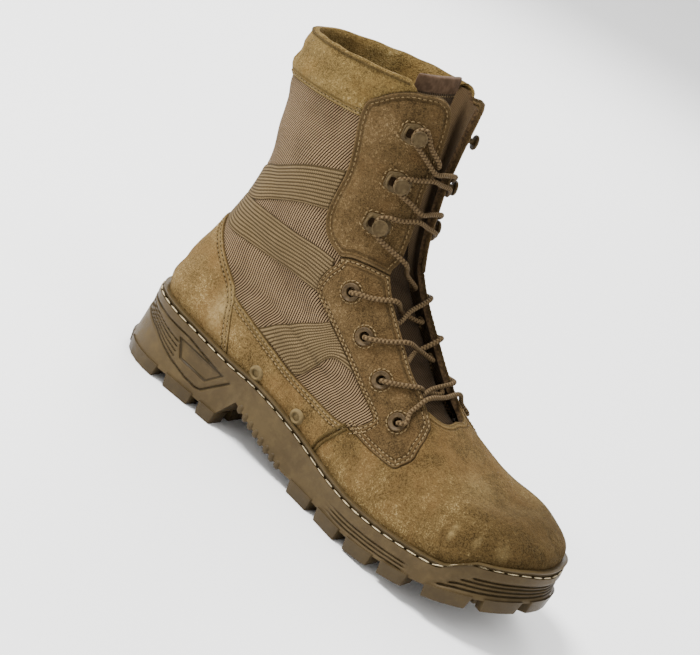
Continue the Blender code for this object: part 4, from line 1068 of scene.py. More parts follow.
def strap_map(upper_edge, lower_edge):
    """True millimetres along and across a strap, so that its cords follow its edges."""
    top = wrap(np.c_[upper_edge, np.zeros(len(upper_edge))])
    foot = wrap(np.c_[lower_edge, np.zeros(len(lower_edge))])
    middle = (by_girth(top, np.linspace(0, 1, 400)) + by_girth(foot, np.linspace(1, 0, 400))) / 2

    def spread(flat):
        skin = wrap(np.c_[flat[:, :2], np.zeros(len(flat))])
        up, down = near_line(skin, top), near_line(skin, foot)
        away = ((skin[:, None, :] - middle[None]) ** 2).sum(axis=2)
        along = run_of(middle)[away.argmin(axis=1)]
        wide = np.linalg.norm(top.mean(axis=0) - foot.mean(axis=0))
        return np.stack([along, wide * down / np.maximum(up + down, 1e-6)], axis=1)

    return spread


def add_panels():
    """Cut every panel of leather and webbing on both sides."""
    vamp_half = np.concatenate([
        curve(THROAT_BASE), curve(STAY_FOOT)[::-1][1:], curve(VAMP_SIDE)[::-1][1:],
        np.array([(x, 2.3) for x in np.linspace(place(49.2, 1, -1)[0], 0, 50)])[1:],
    ])
    vamp = outline(vamp_half, (vamp_half * np.array((-1, 1)))[::-1])
    keep(panel(vamp, 1.2, seams=[curve(THROAT_BASE, s) for s in (-1, 1)]), "vamp_leather",
         (SUEDE_VAMP,), ("vamp",))
    counter_in, counter_out = both(COUNTER_EDGE)
    heel = outline(counter_out[::-1], counter_in,
                   np.array([(x, 2.3) for x in np.linspace(counter_in[-1][0], counter_out[-1][0], 60)]))
    keep(panel(heel, 1.4, seams=[counter_in, counter_out]), "counter_leather", (SUEDE,), ("counter",))
    for side, where in ((-1, "in"), (1, "out")):
        low_edge = outline(curve(STAY_FOOT, side), curve(LOW_FLAP_EDGE, side), curve(STAY_JOIN, side),
                           curve(LOW_STAY_BACK, side))
        top_edge = outline(curve(TOP_STAY_BACK, side), curve(TOP_STAY_SHOULDER, side),
                           curve(TOP_FLAP_EDGE, side), curve(STAY_JOIN, side))
        base = np.linspace(place(25.6, 1, side), place(49.2, 1, side), 40)
        saddle = outline(curve(COUNTER_EDGE[5:], side), base, curve(VAMP_SIDE, side),
                         curve(SADDLE_TOP, side))
        keep(panel(saddle, 1.2, seams=[curve(SADDLE_TOP, side)],
                   holes=[place(q, v, -1) for q, v in VENTS] if side < 0 else (), hole_radius=3.3),
             "saddle_leather_" + where, (SUEDE,), ("saddle_" + where,))
        keep(panel(low_edge, 1.8, holes=eyelet_places(side)), "low_eyestay_" + where, (SUEDE_DARK,),
             ("eyestay_low_" + where,))
        keep(panel(top_edge, 1.7, section=ROLLED), "top_eyestay_" + where, (SUEDE_DARK,),
             ("eyestay_top_" + where,))
        for name, (upper_edge, end, lower_edge) in STRAPS.items():
            lines = [curve(line, side) for line in (upper_edge, end, lower_edge)]
            strap = panel(outline(*lines), 0.9, weave=strap_map(lines[0], lines[2]))
            keep(strap, f"{name}_strap_{where}", (WEBBING,), (f"webbing_{name}_{where}",))


add_panels()

# %% [markdown]
# ## Backstay and padded cuff
# A strip covers the seam down the shaft. The cuff is padded suede that rolls over the collar and ends
# inside: the flat panel runs on past the collar, and a bend carries it over the rim and down.

# %% Backstay and cuff
BACKSTAY_TOP, BACKSTAY_FOOT = (0, 89.6), (0, 48.2)
BACKSTAY_SIDE = ((4, 89.7), (4, 47.6))
back_in, back_out = both(BACKSTAY_SIDE)
back_edge = outline(np.array([place(*BACKSTAY_TOP, 1, True)]), back_in,
                    np.array([place(*BACKSTAY_FOOT, 1, True)]), back_out[::-1])
keep(panel(back_edge, 0.8), "backstay_strip", (SUEDE_DARK,), ("backstay",))

ROLL_INSIDE, ROLL_MEAN = WALL / 2, 2.7
ROLL_LENGTH = math.pi * ROLL_MEAN
CUFF_TUCK, CUFF_SLANT = 9.0, 34.0
CUFF_FOAM, CUFF_WRINKLE = 2.3, 0.18
CUFF_TOP = FULL_HEIGHT + ROLL_LENGTH + CUFF_TUCK


def over_rim(flat):
    """Lay a panel that runs up to the collar, over its rim and down inside."""
    flat = np.atleast_2d(np.asarray(flat, dtype=float))
    beyond = np.maximum(flat[:, 1] - FULL_HEIGHT, 0)
    turn = np.minimum(beyond, ROLL_LENGTH) / ROLL_MEAN
    deep = np.maximum(beyond - ROLL_LENGTH, 0)
    reach = ROLL_INSIDE + flat[:, 2]
    up = np.where(beyond > 0, FULL_HEIGHT + reach * np.sin(turn) - deep, flat[:, 1])
    out = np.where(beyond > 0, -ROLL_INSIDE + reach * np.cos(turn), flat[:, 2])
    return wrap(np.stack([flat[:, 0], up, out], axis=1))


def cuff_pad(flat, from_edge):
    """Foam under the cuff: full below the rim, thin where it rolls over and inside."""
    full = CUFF_FOAM * smooth(from_edge / 8) * (1 - eased(flat[:, 1], (FULL_HEIGHT - 9, FULL_HEIGHT + 1)))
    wave = np.sin(flat[:, 0] / 5.2 + 1.3 * np.sin(flat[:, 0] / 23))
    return full + CUFF_WRINKLE * wave * smooth(from_edge / 6)


cuff_in, cuff_out = both(CUFF_BOTTOM)
shoulder_in, shoulder_out = both(TOP_STAY_SHOULDER[1:])
far_start = shoulder_in[-1][0] + CUFF_SLANT * np.sign(shoulder_out[-1][0] - shoulder_in[-1][0])
far = np.array([(x, CUFF_TOP) for x in np.linspace(far_start, 2 * HALF_TURN - far_start, 150)])
cuff_edge = outline(cuff_out, cuff_in[::-1][1:], shoulder_in, far, shoulder_out[::-1])
cuff = keep(panel(cuff_edge, 1.1, lay=over_rim, puff=cuff_pad, seams=[cuff_in, cuff_out]),
            "cuff_padded", (SUEDE_GOLD,), ("cuff",))

# %% [markdown]
# ## Seams
# A lockstitch shows as a row of short pale bars, each pulled down at both ends into a needle hole.
# One low-poly bar is shaped from a sphere and set along offset copies of the panel edges, and sunk
# near-black bars between them paint the shade in the holes. A texture could draw the stitches, but real bars
# catch light from every side.

# %% Stitches
STITCH_LENGTH, STITCH_GAP, THREAD_RADIUS = 2.3, 0.75, 0.4
STITCH_PITCH, SEAM_END = STITCH_LENGTH + STITCH_GAP, 1.5
HOLE_LENGTH, HOLE_RADIUS, HOLE_SINK = 0.9, 0.42, -0.18
thread_places, hole_places = [], []


def bar_mesh(length, radius, u=6, v=5):
    """A small rounded bar along x."""
    work = bmesh.new()
    bmesh.ops.create_uvsphere(work, u_segments=u, v_segments=v, radius=1.0)
    bmesh.ops.rotate(work, verts=work.verts, matrix=Matrix.Rotation(math.pi / 2, 3, "Y"))
    bmesh.ops.scale(work, verts=work.verts, vec=(length / 2, radius, radius))
    return mesh_of(work, "bar")


def stand_on(point, ahead, outward, height=0.0):
    """A matrix with x along a seam and z out of the skin."""
    out = Vector(outward).normalized()
    forward = Vector(ahead)
    forward = (forward - out * forward.dot(out)).normalized()
    turn = Matrix((forward, out.cross(forward), out)).transposed().to_4x4()
    return Matrix.Translation(Vector(point) + out * height) @ turn


def sew(line, distance, height):
    """Set stitches along a line moved sideways by a distance."""
    moved = beside(line, distance)
    flat = np.c_[moved, np.full(len(moved), height)]
    placed, lifted = wrap(flat), wrap(flat + np.array((0, 0, 1.0)))
    run = run_of(placed)
    spots = np.arange(SEAM_END, run[-1] - SEAM_END, STITCH_PITCH)
    centres = by_girth(placed, spots / run[-1])
    ahead = by_girth(placed, np.minimum(spots + 0.6, run[-1]) / run[-1]) - centres
    out = by_girth(lifted, spots / run[-1]) - centres
    between = by_girth(placed, np.clip(spots + STITCH_PITCH / 2, 0, run[-1]) / run[-1])
    for c, a, o, b in zip(centres, ahead, out, between):
        thread_places.append(stand_on(c, a, o))
        hole_places.append(stand_on(b, a, o, HOLE_SINK))


def sow(name, template, places, look):
    """Join a template mesh many times into one piece."""
    work = bmesh.new()
    for matrix in places:
        before = len(work.verts)
        work.from_mesh(template)
        work.verts.ensure_lookup_table()
        bmesh.ops.transform(work, matrix=matrix, verts=work.verts[before:])
    return keep(work, name, (look,), sharp=180)


def sew_boot():
    """Every row of stitches on the upper."""
    for side in (-1, 1):
        for distance in SEAM_ROWS:
            sew(curve(COUNTER_EDGE, side), side * distance, 1.38)
            sew(curve(SADDLE_TOP, side), -side * distance, 1.2)
            sew(curve(CUFF_BOTTOM, side), side * (distance * 0.9 + 0.2), 1.25 + 0.12 * distance)
            sew(curve(LOW_STAY_BACK, side), -side * distance, 1.78)
            sew(curve(STAY_FOOT, side), -side * distance, 1.78)
        sew(curve(LOW_FLAP_EDGE, side), -side * 2.0, 1.78)
        sew(curve(STAY_JOIN, side), -side * 1.8, 1.78)
        top_edge = np.concatenate([curve(TOP_STAY_BACK, side), curve(TOP_STAY_SHOULDER, side)[1:],
                                   curve(TOP_FLAP_EDGE, side)[1:]])
        sew(top_edge, side * 2.85, 1.3)
        sew(curve(BACKSTAY_SIDE, side), side * 1.4, 0.78)


sew_boot()

# %% [markdown]
# ## Rings and tubes
# Cords, piping, the tongue and the sole are all swept forms: a lattice of points, closed round and
# sometimes end to end. A grid primitive gives the faces, its points are set from the sweep, and its
# seam is welded.

# %% Swept forms


def lattice(points, loop=False, spread=None, marks=None):
    """A skin over rows of points, closed round; loop also joins the last row to the first."""
    points = np.asarray(points, dtype=float)
    points = np.concatenate([points, points[:, :1]], axis=1)
    if loop:
        points = np.concatenate([points, points[:1]], axis=0)
    rows, columns = points.shape[:2]
    work = bmesh.new()
    bmesh.ops.create_grid(work, x_segments=columns - 1, y_segments=rows - 1, size=1)
    uv = work.loops.layers.uv.new("UVMap")
    layers = {name: work.verts.layers.float.new(name) for name in (marks or {})}
    at = {}
    for vertex in work.verts:
        column = round((vertex.co.x + 1) / 2 * (columns - 1))
        row = round((vertex.co.y + 1) / 2 * (rows - 1))
        at[vertex] = (row, column)
    for vertex, (row, column) in at.items():
        vertex.co = points[row, column]
        for name, layer in layers.items():
            vertex[layer] = marks[name][row % len(marks[name]), column % marks[name].shape[1]]
    for f in work.faces:
        for corner in f.loops:
            row, column = at[corner.vert]
            corner[uv].uv = (row, column) if spread is None else spread[row, column]
    bmesh.ops.remove_doubles(work, verts=[v for v in work.verts if v.is_boundary], dist=1e-4)
    return work


def cap(work):
    """Close the open ends and turn the faces out."""
    bmesh.ops.holes_fill(work, edges=[e for e in work.edges if e.is_boundary], sides=0)
    bmesh.ops.triangulate(work, faces=[f for f in work.faces if len(f.verts) > 4])
    face_out(work)
    return work


def cord(points, radius, sides=12, outward=None):
    """A capped tube round a line, its frame carried along, with the marks that the braid reads."""
    points = np.asarray(points, dtype=float)
    ahead = np.gradient(points, axis=0)
    ahead /= np.linalg.norm(ahead, axis=1, keepdims=True)
    turn = np.linspace(0, 2 * math.pi, sides, endpoint=False)
    sine, cosine = np.sin(turn), np.cos(turn)
    normal = np.cross(ahead[0], (0.3, 0.2, 0.9))
    rings = []
    for i, (point, direction) in enumerate(zip(points, ahead)):
        normal = normal if outward is None else outward[i]
        normal = normal - direction * (normal @ direction)
        normal = normal / np.linalg.norm(normal)
        across = np.cross(direction, normal)
        rings.append(point + radius * (np.outer(cosine, normal) + np.outer(sine, across)))
    marks = {"along": np.repeat(run_of(points)[:, None], sides, axis=1),
             "sine": np.tile(sine, (len(points), 1)), "cosine": np.tile(cosine, (len(points), 1))}
    return cap(lattice(rings, marks=marks))


def join(works):
    """Several bmeshes in one."""
    joined = bmesh.new()
    for work in works:
        mesh = mesh_of(work, "part")
        joined.from_mesh(mesh)
        bpy.data.meshes.remove(mesh)
    return joined


# %% [markdown]
# ## Piping
# Two raised cords run down the seam between vamp and saddle, and a thin one edges the cuff. Each is a
# tube along an offset copy of the seam, sunk to its middle in the leather.

# %% Beads along seams
RIDGE_PLACES, RIDGE_RADIUS, BEAD_HEIGHT = (1.35, -1.45), 1.0, 1.15
PIPING_END, PIPING_RADIUS = 70.5, 0.75


def bead(line, distance, radius, height, lay=wrap):
    """A cord laid on the skin beside a line."""
    moved = beside(line, distance) if distance else line
    flat = np.c_[moved, np.full(len(moved), height)]
    placed = lay(flat)
    out = lay(flat + np.array((0, 0, 1.0))) - placed
    return cord(placed, radius, 10, outward=out)


vamp_beads = []
for side in (-1, 1):
    for distance in RIDGE_PLACES:
        vamp_beads.append(bead(curve(VAMP_SIDE, side, gap=1.2), distance, RIDGE_RADIUS, BEAD_HEIGHT))
keep(join(vamp_beads), "vamp_seam_ridges", (SUEDE_GOLD,))
rim_in, rim_out = (place(PIPING_END, 0, side, True)[0] for side in (-1, 1))
rim_line = np.array([(x, FULL_HEIGHT + 1.0) for x in np.linspace(rim_in, rim_out, 260)])
keep(bead(rim_line, 0, PIPING_RADIUS, BEAD_HEIGHT, over_rim), "cuff_rim_piping", (SUEDE_GOLD,))

# %% [markdown]
# ## Tongue
# The tongue is a padded strip of mesh under the lace, bound at its top with a smooth roll. It is
# swept row by row: a flat oval section follows the shaft, dips under the lace, and leans back at
# the top. The binding is a second, fatter sweep over its top edge.

# %% Tongue and its binding
TONGUE_ROWS = (
    (46.5, 29), (51, 29), (56, 29), (62, 29), (68, 29), (75, 29), (83, 29.5), (91, 31), (97, 34),
    (101, 35), (103, 34.5),
)
TONGUE_THICKNESS, TONGUE_OFFSET = 3.6, WALL + 3.2
TONGUE_LEAN, LEAN_SPAN = 8.0, (74, 104)
FLAT_HALF, PRESSED, PRESSED_SPAN = 16.0, 6.0, (42, 58)


def tongue_line(row, shares, depth):
    """Points across the tongue at a row, a depth under the skin."""
    half = np.interp(row, *zip(*TONGUE_ROWS))
    up = row / 100 * FULL_HEIGHT
    around = wrap([(-2, up, 0), (2, up, 0)])
    wide = np.linalg.norm(around[1] - around[0]) / 4
    centre, nose = wrap([(0, up, 0), (0, up, 1)])
    forward = nose - centre
    pressed = centre - wrap([(-FLAT_HALF / wide, up, 0), (FLAT_HALF / wide, up, 0)]).mean(axis=0)
    dip = (float(pressed @ forward) + PRESSED) * eased(row, PRESSED_SPAN)
    lean = TONGUE_LEAN * eased(row, LEAN_SPAN)
    shares = np.asarray(shares)
    line = wrap(np.stack([shares * half / wide, np.full(len(shares), up), -np.asarray(depth)], axis=1))
    return line - forward * (dip * (1 - shares**2) + lean)[:, None]


def tongue_ring(row, thick=TONGUE_THICKNESS, swell=0.0, columns=26, narrow=1.0):
    """One closed section of the tongue, rounded at its sides."""
    turn = np.linspace(0, math.pi, columns)
    shares = np.cos(turn) * narrow
    section = np.abs(np.sin(turn)) ** 0.45
    middle = TONGUE_OFFSET + TONGUE_THICKNESS / 2
    front = tongue_line(row, shares, middle - section * (thick / 2 + swell))
    back = tongue_line(row, shares[::-1][1:-1], middle + (section * (thick / 2 + swell))[::-1][1:-1])
    return np.concatenate([front, back])


BOUND_FROM, BOUND_TOP, BINDING_FAT = 98.6, 101.9, 1.5
tongue_rows = np.linspace(TONGUE_ROWS[0][0], BOUND_FROM + 0.6, 60)
quilt = [0.25 * math.sin(row * 1.1) for row in tongue_rows]
tongue_rings = np.array([tongue_ring(row, swell=s) for row, s in zip(tongue_rows, quilt)])
flat_rows, flat_columns = np.mgrid[0:tongue_rings.shape[0] + 1, 0:tongue_rings.shape[1] + 1]
cloth_map = np.stack([flat_rows * 2.0, flat_columns * 2.4], axis=-1)
tongue = keep(cap(lattice(tongue_rings, spread=cloth_map)), "tongue_pad", (MESH_CLOTH,), ("tongue",))
binding_rings = []
for t in np.linspace(0, 1, 14):
    row = BOUND_FROM + (BOUND_TOP - BOUND_FROM) * math.sin(t * math.pi / 2)
    fat = BINDING_FAT * math.sin(min(t * 4, 1) * math.pi / 2) * math.sqrt(max(1 - t**4, 0.02))
    thin = TONGUE_THICKNESS * math.sqrt(max(1 - t**3.2, 0.03))
    binding_rings.append(tongue_ring(row, thin, fat / 2, narrow=1.015 - 0.07 * t**5))
binding = keep(cap(lattice(binding_rings)), "tongue_binding", (BINDING,))
seam_line = tongue_ring(BOUND_FROM - 0.3)[3:23]
seam_out = tongue_ring(BOUND_FROM - 0.3, TONGUE_THICKNESS + 2)[3:23] - seam_line
seam_run = run_of(seam_line)
for spot in np.arange(2, seam_run[-1] - 3, STITCH_PITCH):
    share = np.array([spot, spot + 1]) / seam_run[-1]
    a, b = by_girth(seam_line, share)
    thread_places.append(stand_on(a, b - a, by_girth(seam_out, share)[0], 0.15))

# %% [markdown]
# ## Eyelets, vents and hooks
# Eyelets and vents are spun from a profile: the eyelets like turned brass, the vents like rubber. A
# hook is a five-sided plate with a slot behind a headed stud: the plate is a cut face with bevelled
# edges, the slot is a near-black disc of painted shade, the stud is spun, and a row of stitches holds the
# leather round it.

# %% Hardware
EYELET_PROFILE = ((2.75, -3.0), (2.75, 2.3), (2.95, 2.6), (4.1, 2.85), (4.5, 3.1), (4.8, 3.3), (5.1, 3.1),
                  (5.2, 2.7), (5.2, 1.7), (2.75, -3.0))
VENT_PROFILE = ((0, 1.0), (2.3, 1.0), (2.4, 1.9), (2.7, 2.4), (3.4, 2.7), (4.1, 2.45), (4.7, 1.9),
                (4.9, 1.1), (4.7, 0.9), (0, 0.9))
STUD_PROFILE = ((0, 9.5), (3.6, 9.5), (3.75, 9.8), (4.35, 9.8), (4.6, 9.4), (4.6, 8.6), (4.2, 8.2),
                (1.7, 8.0), (1.7, 4.2), (2.4, 3.7), (0, 3.6))
HOOK_SEAT, HOOK_THICKNESS, HOOK_CORNER = 2.0, 1.5, 1.3
HOOK_SLOT, SLOT_PLACE = 2.7, (-5.0, 0, 3.74)            # radius, middle
EYELET_SEAM, HOOK_SEAM, FITTING_STITCHES = 6.4, 1.13, 15         # radius, share of the plate, count
HOOK_PLATE = ((5.2, -3.9), (6.0, 0), (5.2, 3.9), (-2.5, 6.2), (-9.2, 4.2), (-9.2, -4.2), (-2.5, -6.2))


def seat(q, v, side):
    """A matrix that stands local z on the skin, with local x towards the front."""
    across, up = place(q, v, side)
    base, tip = wrap([(across, up, 0), (across, up, 1)])
    ends = wrap([(across - 3, up, 0), (across + 3, up, 0)])
    return stand_on(base, (ends[1] - ends[0]) * -side, tip - base)


def spun(profile, steps=32):
    """A turned form from (radius, height) pairs."""
    work = bmesh.new()
    line = [work.verts.new((r, 0, h)) for r, h in profile]
    edges = [work.edges.new(pair) for pair in zip(line, line[1:])]
    bmesh.ops.spin(work, geom=line + edges, axis=(0, 0, 1), cent=(0, 0, 0), dvec=(0, 0, 0),
                   angle=2 * math.pi, steps=steps, use_merge=True)
    bmesh.ops.remove_doubles(work, verts=work.verts, dist=1e-4)
    bmesh.ops.recalc_face_normals(work, faces=work.faces)
    return work


def hook_plate():
    """The hook's plate with its rounded edges."""
    work = bmesh.new()
    face = work.faces.new([work.verts.new((x, y, HOOK_SEAT)) for x, y in HOOK_PLATE])
    bmesh.ops.bevel(work, geom=list(face.verts), offset=HOOK_CORNER, affect="VERTICES", segments=3,
                    profile=0.5, material=-1)
    face = max(work.faces, key=lambda f: f.calc_area())
    grown = bmesh.ops.extrude_face_region(work, geom=[face])
    lifted = [v for v in grown["geom"] if isinstance(v, bmesh.types.BMVert)]
    bmesh.ops.translate(work, verts=lifted, vec=(0, 0, HOOK_THICKNESS))
    top = [f for f in work.faces if all(v.co.z > HOOK_SEAT + 1 for v in f.verts)]
    bmesh.ops.inset_region(work, faces=top, thickness=0.7, depth=0.25, use_even_offset=True)
    return work


def hook_work():
    """A hook's plate, its stud and the bow of wire behind it."""
    works = [hook_plate(), spun(STUD_PROFILE, 24)]
    bow = [(-8.3 + 1.6 * (1 - math.cos(t)), 2.9 * math.sin(t) * 1.15, 3.7 + 1.9 * math.cos(t))
           for t in np.linspace(-math.pi / 2, math.pi / 2, 9)]
    works.append(cord(bow, 0.75, 8))
    return join(works)


def hook_slot_shade():
    """A near-black disc of painted shade in the slot behind the stud."""
    work = bmesh.new()
    bmesh.ops.create_cone(work, cap_ends=True, segments=20, radius1=HOOK_SLOT, radius2=HOOK_SLOT,
                          depth=0.3)
    bmesh.ops.translate(work, verts=work.verts, vec=SLOT_PLACE)
    return work


def set_at(work, q, v, side):
    """Move a fitting to its seat on the skin."""
    bmesh.ops.transform(work, matrix=seat(q, v, side), verts=work.verts)
    return work


def sew_round(path, q, v, side, height):
    """Stitches along a closed path that is laid out flat round a fitting."""
    marks = by_girth(np.array([*path, path[0]]), np.linspace(0, 1, FITTING_STITCHES + 1))
    stand = seat(q, v, side)
    turn = stand.to_3x3()
    for here, there in zip(marks, marks[1:]):
        spot, ahead = stand @ Vector((*here, height)), turn @ Vector((*(there - here), 0))
        thread_places.append(stand_on(spot, ahead, turn @ Vector((0, 0, 1))))


ROUND_EYELET = [(EYELET_SEAM * math.cos(t), EYELET_SEAM * math.sin(t))
                for t in np.linspace(0, 2 * math.pi, 48)[:-1]]
ROUND_HOOK = [(x * HOOK_SEAM, y * HOOK_SEAM) for x, y in HOOK_PLATE]
slot_shades = []
for side, where in ((-1, "in"), (1, "out")):
    for i, (q, v) in enumerate(EYELETS, 1):
        keep(set_at(spun(EYELET_PROFILE), q, v, side), f"eyelet_ring_{i}_{where}", (BRASS,),
             (f"eyelet_{i}_{where}",))
        sew_round(ROUND_EYELET, q, v, side, 1.8)
    for i, (q, v) in enumerate(HOOKS, 1):
        keep(set_at(hook_work(), q, v, side), f"lace_hook_{i}_{where}", (HOOK_BRASS,),
             (f"hook_{i}_{where}",), sharp=30)
        slot_shades.append(set_at(hook_slot_shade(), q, v, side))
        sew_round(ROUND_HOOK, q, v, side, 1.75)
for i, (q, v) in enumerate(VENTS, 1):
    keep(set_at(spun(VENT_PROFILE), q, v, -1), f"vent_ring_{i}", (VENT_RUBBER,), (f"vent_{i}",))
# The hooks' near-black discs are painted shade in their slots.
keep(join(slot_shades), "hook_slots", (NEEDLE_HOLE_SHADE,))

# %% [markdown]
# ## Lace
# One braided lace: a bar across the lowest pair of eyelets, then crossings. Behind its flap each half
# climbs to the gap, crosses the tongue, and goes over the other flap's edge into the next eyelet. One
# half then zigzags round the studs of the hooks, the other stays behind the top eyelet, and both ends
# are tucked in. Guide points are threaded on a smooth curve, and the braid is a material that reads
# the way along and around the cord.

# %% Lace
LACE_RADIUS = 1.45
OVER, UNDER = 3.6, -4.4            # the cord's middle above and below a flap
FLAP_ROWS = ((88.5, 51.8), (87.3, 53.9), (86.4, 60.4), (85.5, 65.7))
BEHIND_BY, LOWEST_GAP = 3.0, 52.6
BAR_HEIGHT, EDGE_HEIGHT, ARM_HEIGHT, STUD_HEIGHT = 4.2, 4.1, 4.5, 5.7
ROUND_STUD = ((0.3, -1.5), (-1.1, -1.0), (-1.6, 0.1), (-1.0, 1.1), (0.5, 1.5))
HOOK_RUNS = (               # side, hook, edge where the cord arrives, edge where it leaves
    (-1, 0, (91.0, 71.6), (92.6, 77.6)), (1, 0, (92.6, 75.9), (92.6, 78.7)),
    (-1, 1, (92.6, 78.8), (92.6, 85.1)), (1, 1, (92.6, 83.4), (92.6, 86.2)),
    (-1, 2, (92.6, 86.7), (92.6, 88.3)),
)


def on_map(q, v, side, height):
    """A place on the skin, a height above it."""
    return wrap([(*place(q, v, side), height)])[0]


def through(points, gap=1.3):
    """A smooth line through guide points, a gap apart."""
    line = bend(np.array(points, dtype=float), 14)
    count = max(4, int(run_of(line)[-1] / gap))
    return by_girth(line, np.linspace(0, 1, count))


def over_gap(start, end, v, lift):
    """The point half way over the tongue, moved the way that the front faces."""
    across, up = place(100, v, 1)
    base, tip = wrap([(across, up, 0), (across, up, 1)])
    return (start + end) / 2 + (tip - base) * lift


def strand(first):
    """One half of the lace, from the middle of the lowest bar up."""
    side = first
    outer = on_map(*FLAP_ROWS[0], side, BAR_HEIGHT)
    points = [over_gap(outer, on_map(*FLAP_ROWS[0], -side, BAR_HEIGHT), FLAP_ROWS[0][1], 1.6), outer]
    for row, (q, v) in enumerate(reversed(EYELETS)):
        q_edge, v_edge = FLAP_ROWS[row]
        points += [on_map(q + (q_edge - q) * t, v + (v_edge - v) * t, side, OVER) for t in (0.75, 0.5)]
        points += [on_map(q + 2.6, v + 0.6, side, 4.6), on_map(q + 0.4, v, side, 3.2),
                   on_map(q, v, side, -1.5)]
        if row == 3:
            break
        q_edge, v_edge = FLAP_ROWS[row + 1]
        v_low = max(v_edge - BEHIND_BY, LOWEST_GAP)
        inner = on_map(q_edge - 1, v_low, side, UNDER)
        points += [on_map((q + q_edge) / 2 - 1, (v + v_low) / 2, side, UNDER),
                   on_map(q_edge - 4, v_low - 0.4, side, UNDER), inner]
        side = -side
        outer = on_map(q_edge + 0.3, v_edge, side, OVER)
        points += [over_gap(inner, outer, v_edge - 1, 0.6 if first < 0 else -4.0), outer]
    if first > 0:
        return through(points + [on_map(q + 4, v + 1, side, UNDER), on_map(q + 9, v + 2, side, UNDER)])
    inner = on_map(85.4, 67.2, side, UNDER)
    points += [on_map(q + 8, v + 2.5, side, UNDER), inner]
    lift = -2.0
    for side, hook, arrive, leave in HOOK_RUNS:
        q, v = HOOKS[hook]
        outer = on_map(*arrive, side, EDGE_HEIGHT)
        points += [over_gap(inner, outer, arrive[1], lift), outer,
                   on_map((q + arrive[0]) / 2, (v - 1.5 + arrive[1]) / 2, side, ARM_HEIGHT)]
        points += [on_map(q + dq, v + dv, side, STUD_HEIGHT) for dq, dv in ROUND_STUD]
        inner = on_map(*leave, side, EDGE_HEIGHT)
        points += [on_map((q + leave[0]) / 2, (v + 1.5 + leave[1]) / 2, side, ARM_HEIGHT), inner]
        lift = 0.2
    points += [on_map(93.6, leave[1] - 1.2, -1, -1.0), on_map(91.5, leave[1] - 2.0, -1, -4.8),
               on_map(89, leave[1] - 2.4, -1, -5.2)]
    return through(points)


lace_lines = [strand(-1), strand(1)]
keep(join([cord(line, LACE_RADIUS) for line in lace_lines]), "lace_braided", (LACE,),
     ("laces",), sharp=180)
print("lace shown:", round(sum(run_of(line)[-1] for line in lace_lines)), "mm")

# %% [markdown]
# ## The sole's outline
# The sole is a stack of rings round the foot's edge, pushed out by a flare that changes from heel to
# toe. A ring of 1200 points, 0.6 mm apart, is fine enough for moulded ribs and lines.

# %% Rings round the sole
PLATE, LUG_DEPTH, GAP = 3.0, 7.0, 0.3
FLARE_ROWS = ((0, 10), (10, 8.5), (35, 7), (60, 7), (85, 8.5), (100, 12))
TOP_TAPER, STITCH_RISE, STITCH_GROOVE, LIP_RISE, LIP_THICKNESS = 1.5, 4.0, 1.3, 3.8, 1.5
WALL_OFFSET, LIP_INSIDE, WELT_FOOT, CUP_DEPTH = 3.6, 2.4, 2.1, 1.0
WAVE_ROWS = ((208, 0), (242, -1.5), (256, -2), (268, 6.6), (288, 6.6), (291, 5))
BREAST_BACK, BREAST_CREST, BREAST_FRONT, BREAST_RISE, ARCH_POWER = 86, 95, 142, 15.0, 0.85
ROUND = 1200


def plate_bottom(x):
    """Underside of the outsole's plate: heel, breast, falling arch and forefoot."""
    arch = 1 - np.clip((x - BREAST_CREST) / (BREAST_FRONT - BREAST_CREST), 0, 1) ** ARCH_POWER
    rise = np.clip((x - BREAST_BACK) / (BREAST_CREST - BREAST_BACK), 0, 1)
    return LUG_DEPTH + BREAST_RISE * rise * arch + spring(x)


def stitch_height(x):
    """The stitched line round the sole, with its wave over the toe."""
    fine = np.linspace(200, 302, 205)
    wave = np.interp(fine, *zip(*WAVE_ROWS))
    wave = np.convolve(np.pad(wave, 6, mode="edge"), np.hanning(13) / np.hanning(13).sum(), "valid")
    return feather_height(x) + STITCH_RISE + np.interp(x, fine, wave)


def feather_ring():
    """Points, outward directions, shares from heel to toe and sides round the foot's edge."""
    sides = {side: half_outline(section_at(0.0), side, 600) for side in (-1, 1)}
    ring = np.concatenate([sides[-1], sides[1][::-1][1:-1]])
    closed = np.concatenate([ring, ring[:1]])
    ring = by_girth(closed, np.arange(ROUND) / ROUND)
    ahead = np.roll(ring, -4, axis=0) - np.roll(ring, 4, axis=0)
    out = np.stack([ahead[:, 1], -ahead[:, 0]], axis=1)
    out /= np.linalg.norm(out, axis=1, keepdims=True)
    half_run = run_of(sides[-1])[-1]
    total = run_of(closed)[-1]
    run = np.arange(ROUND) / ROUND * total
    side = np.where(run <= half_run, -1, 1)
    share = np.where(side < 0, run / half_run, (total - run) / (total - half_run))
    return ring, out, share, side


RING, RING_OUT, RING_SHARE, RING_SIDE = feather_ring()
RING_FLARE = np.interp(RING_SHARE * 100, *zip(*FLARE_ROWS))


def ground_ring(height, inward=0.0):
    """A ring on the sole's outline drawn inward; height is a number for each of its points."""
    plan = RING[:, :2] + RING_OUT * (RING_FLARE - inward)[:, None]
    return np.c_[plan, np.broadcast_to(height, ROUND)]


def last_ring(height, offset):
    """A ring at an offset from the skin, at a height for each of its points."""
    across = RING_SIDE * HALF_TURN * (1 - RING_SHARE)
    rows = np.arange(0, 70, 3.0)
    skin = np.array([wrap(np.c_[across, np.full(ROUND, up), np.full(ROUND, offset)]) for up in rows])
    plan = np.array([[np.interp(height[i], skin[:, i, 2], skin[:, i, k]) for k in (0, 1)]
                     for i in range(ROUND)])
    return np.c_[plan, height]


PLAN_X = ground_ring(0.0)[:, 0]
STITCH_Z = stitch_height(RING[:, 0])
FLOOR_Z = feather_height(RING[:, 0])
print("sole is", round(float(np.ptp(PLAN_X)), 1), "mm long")

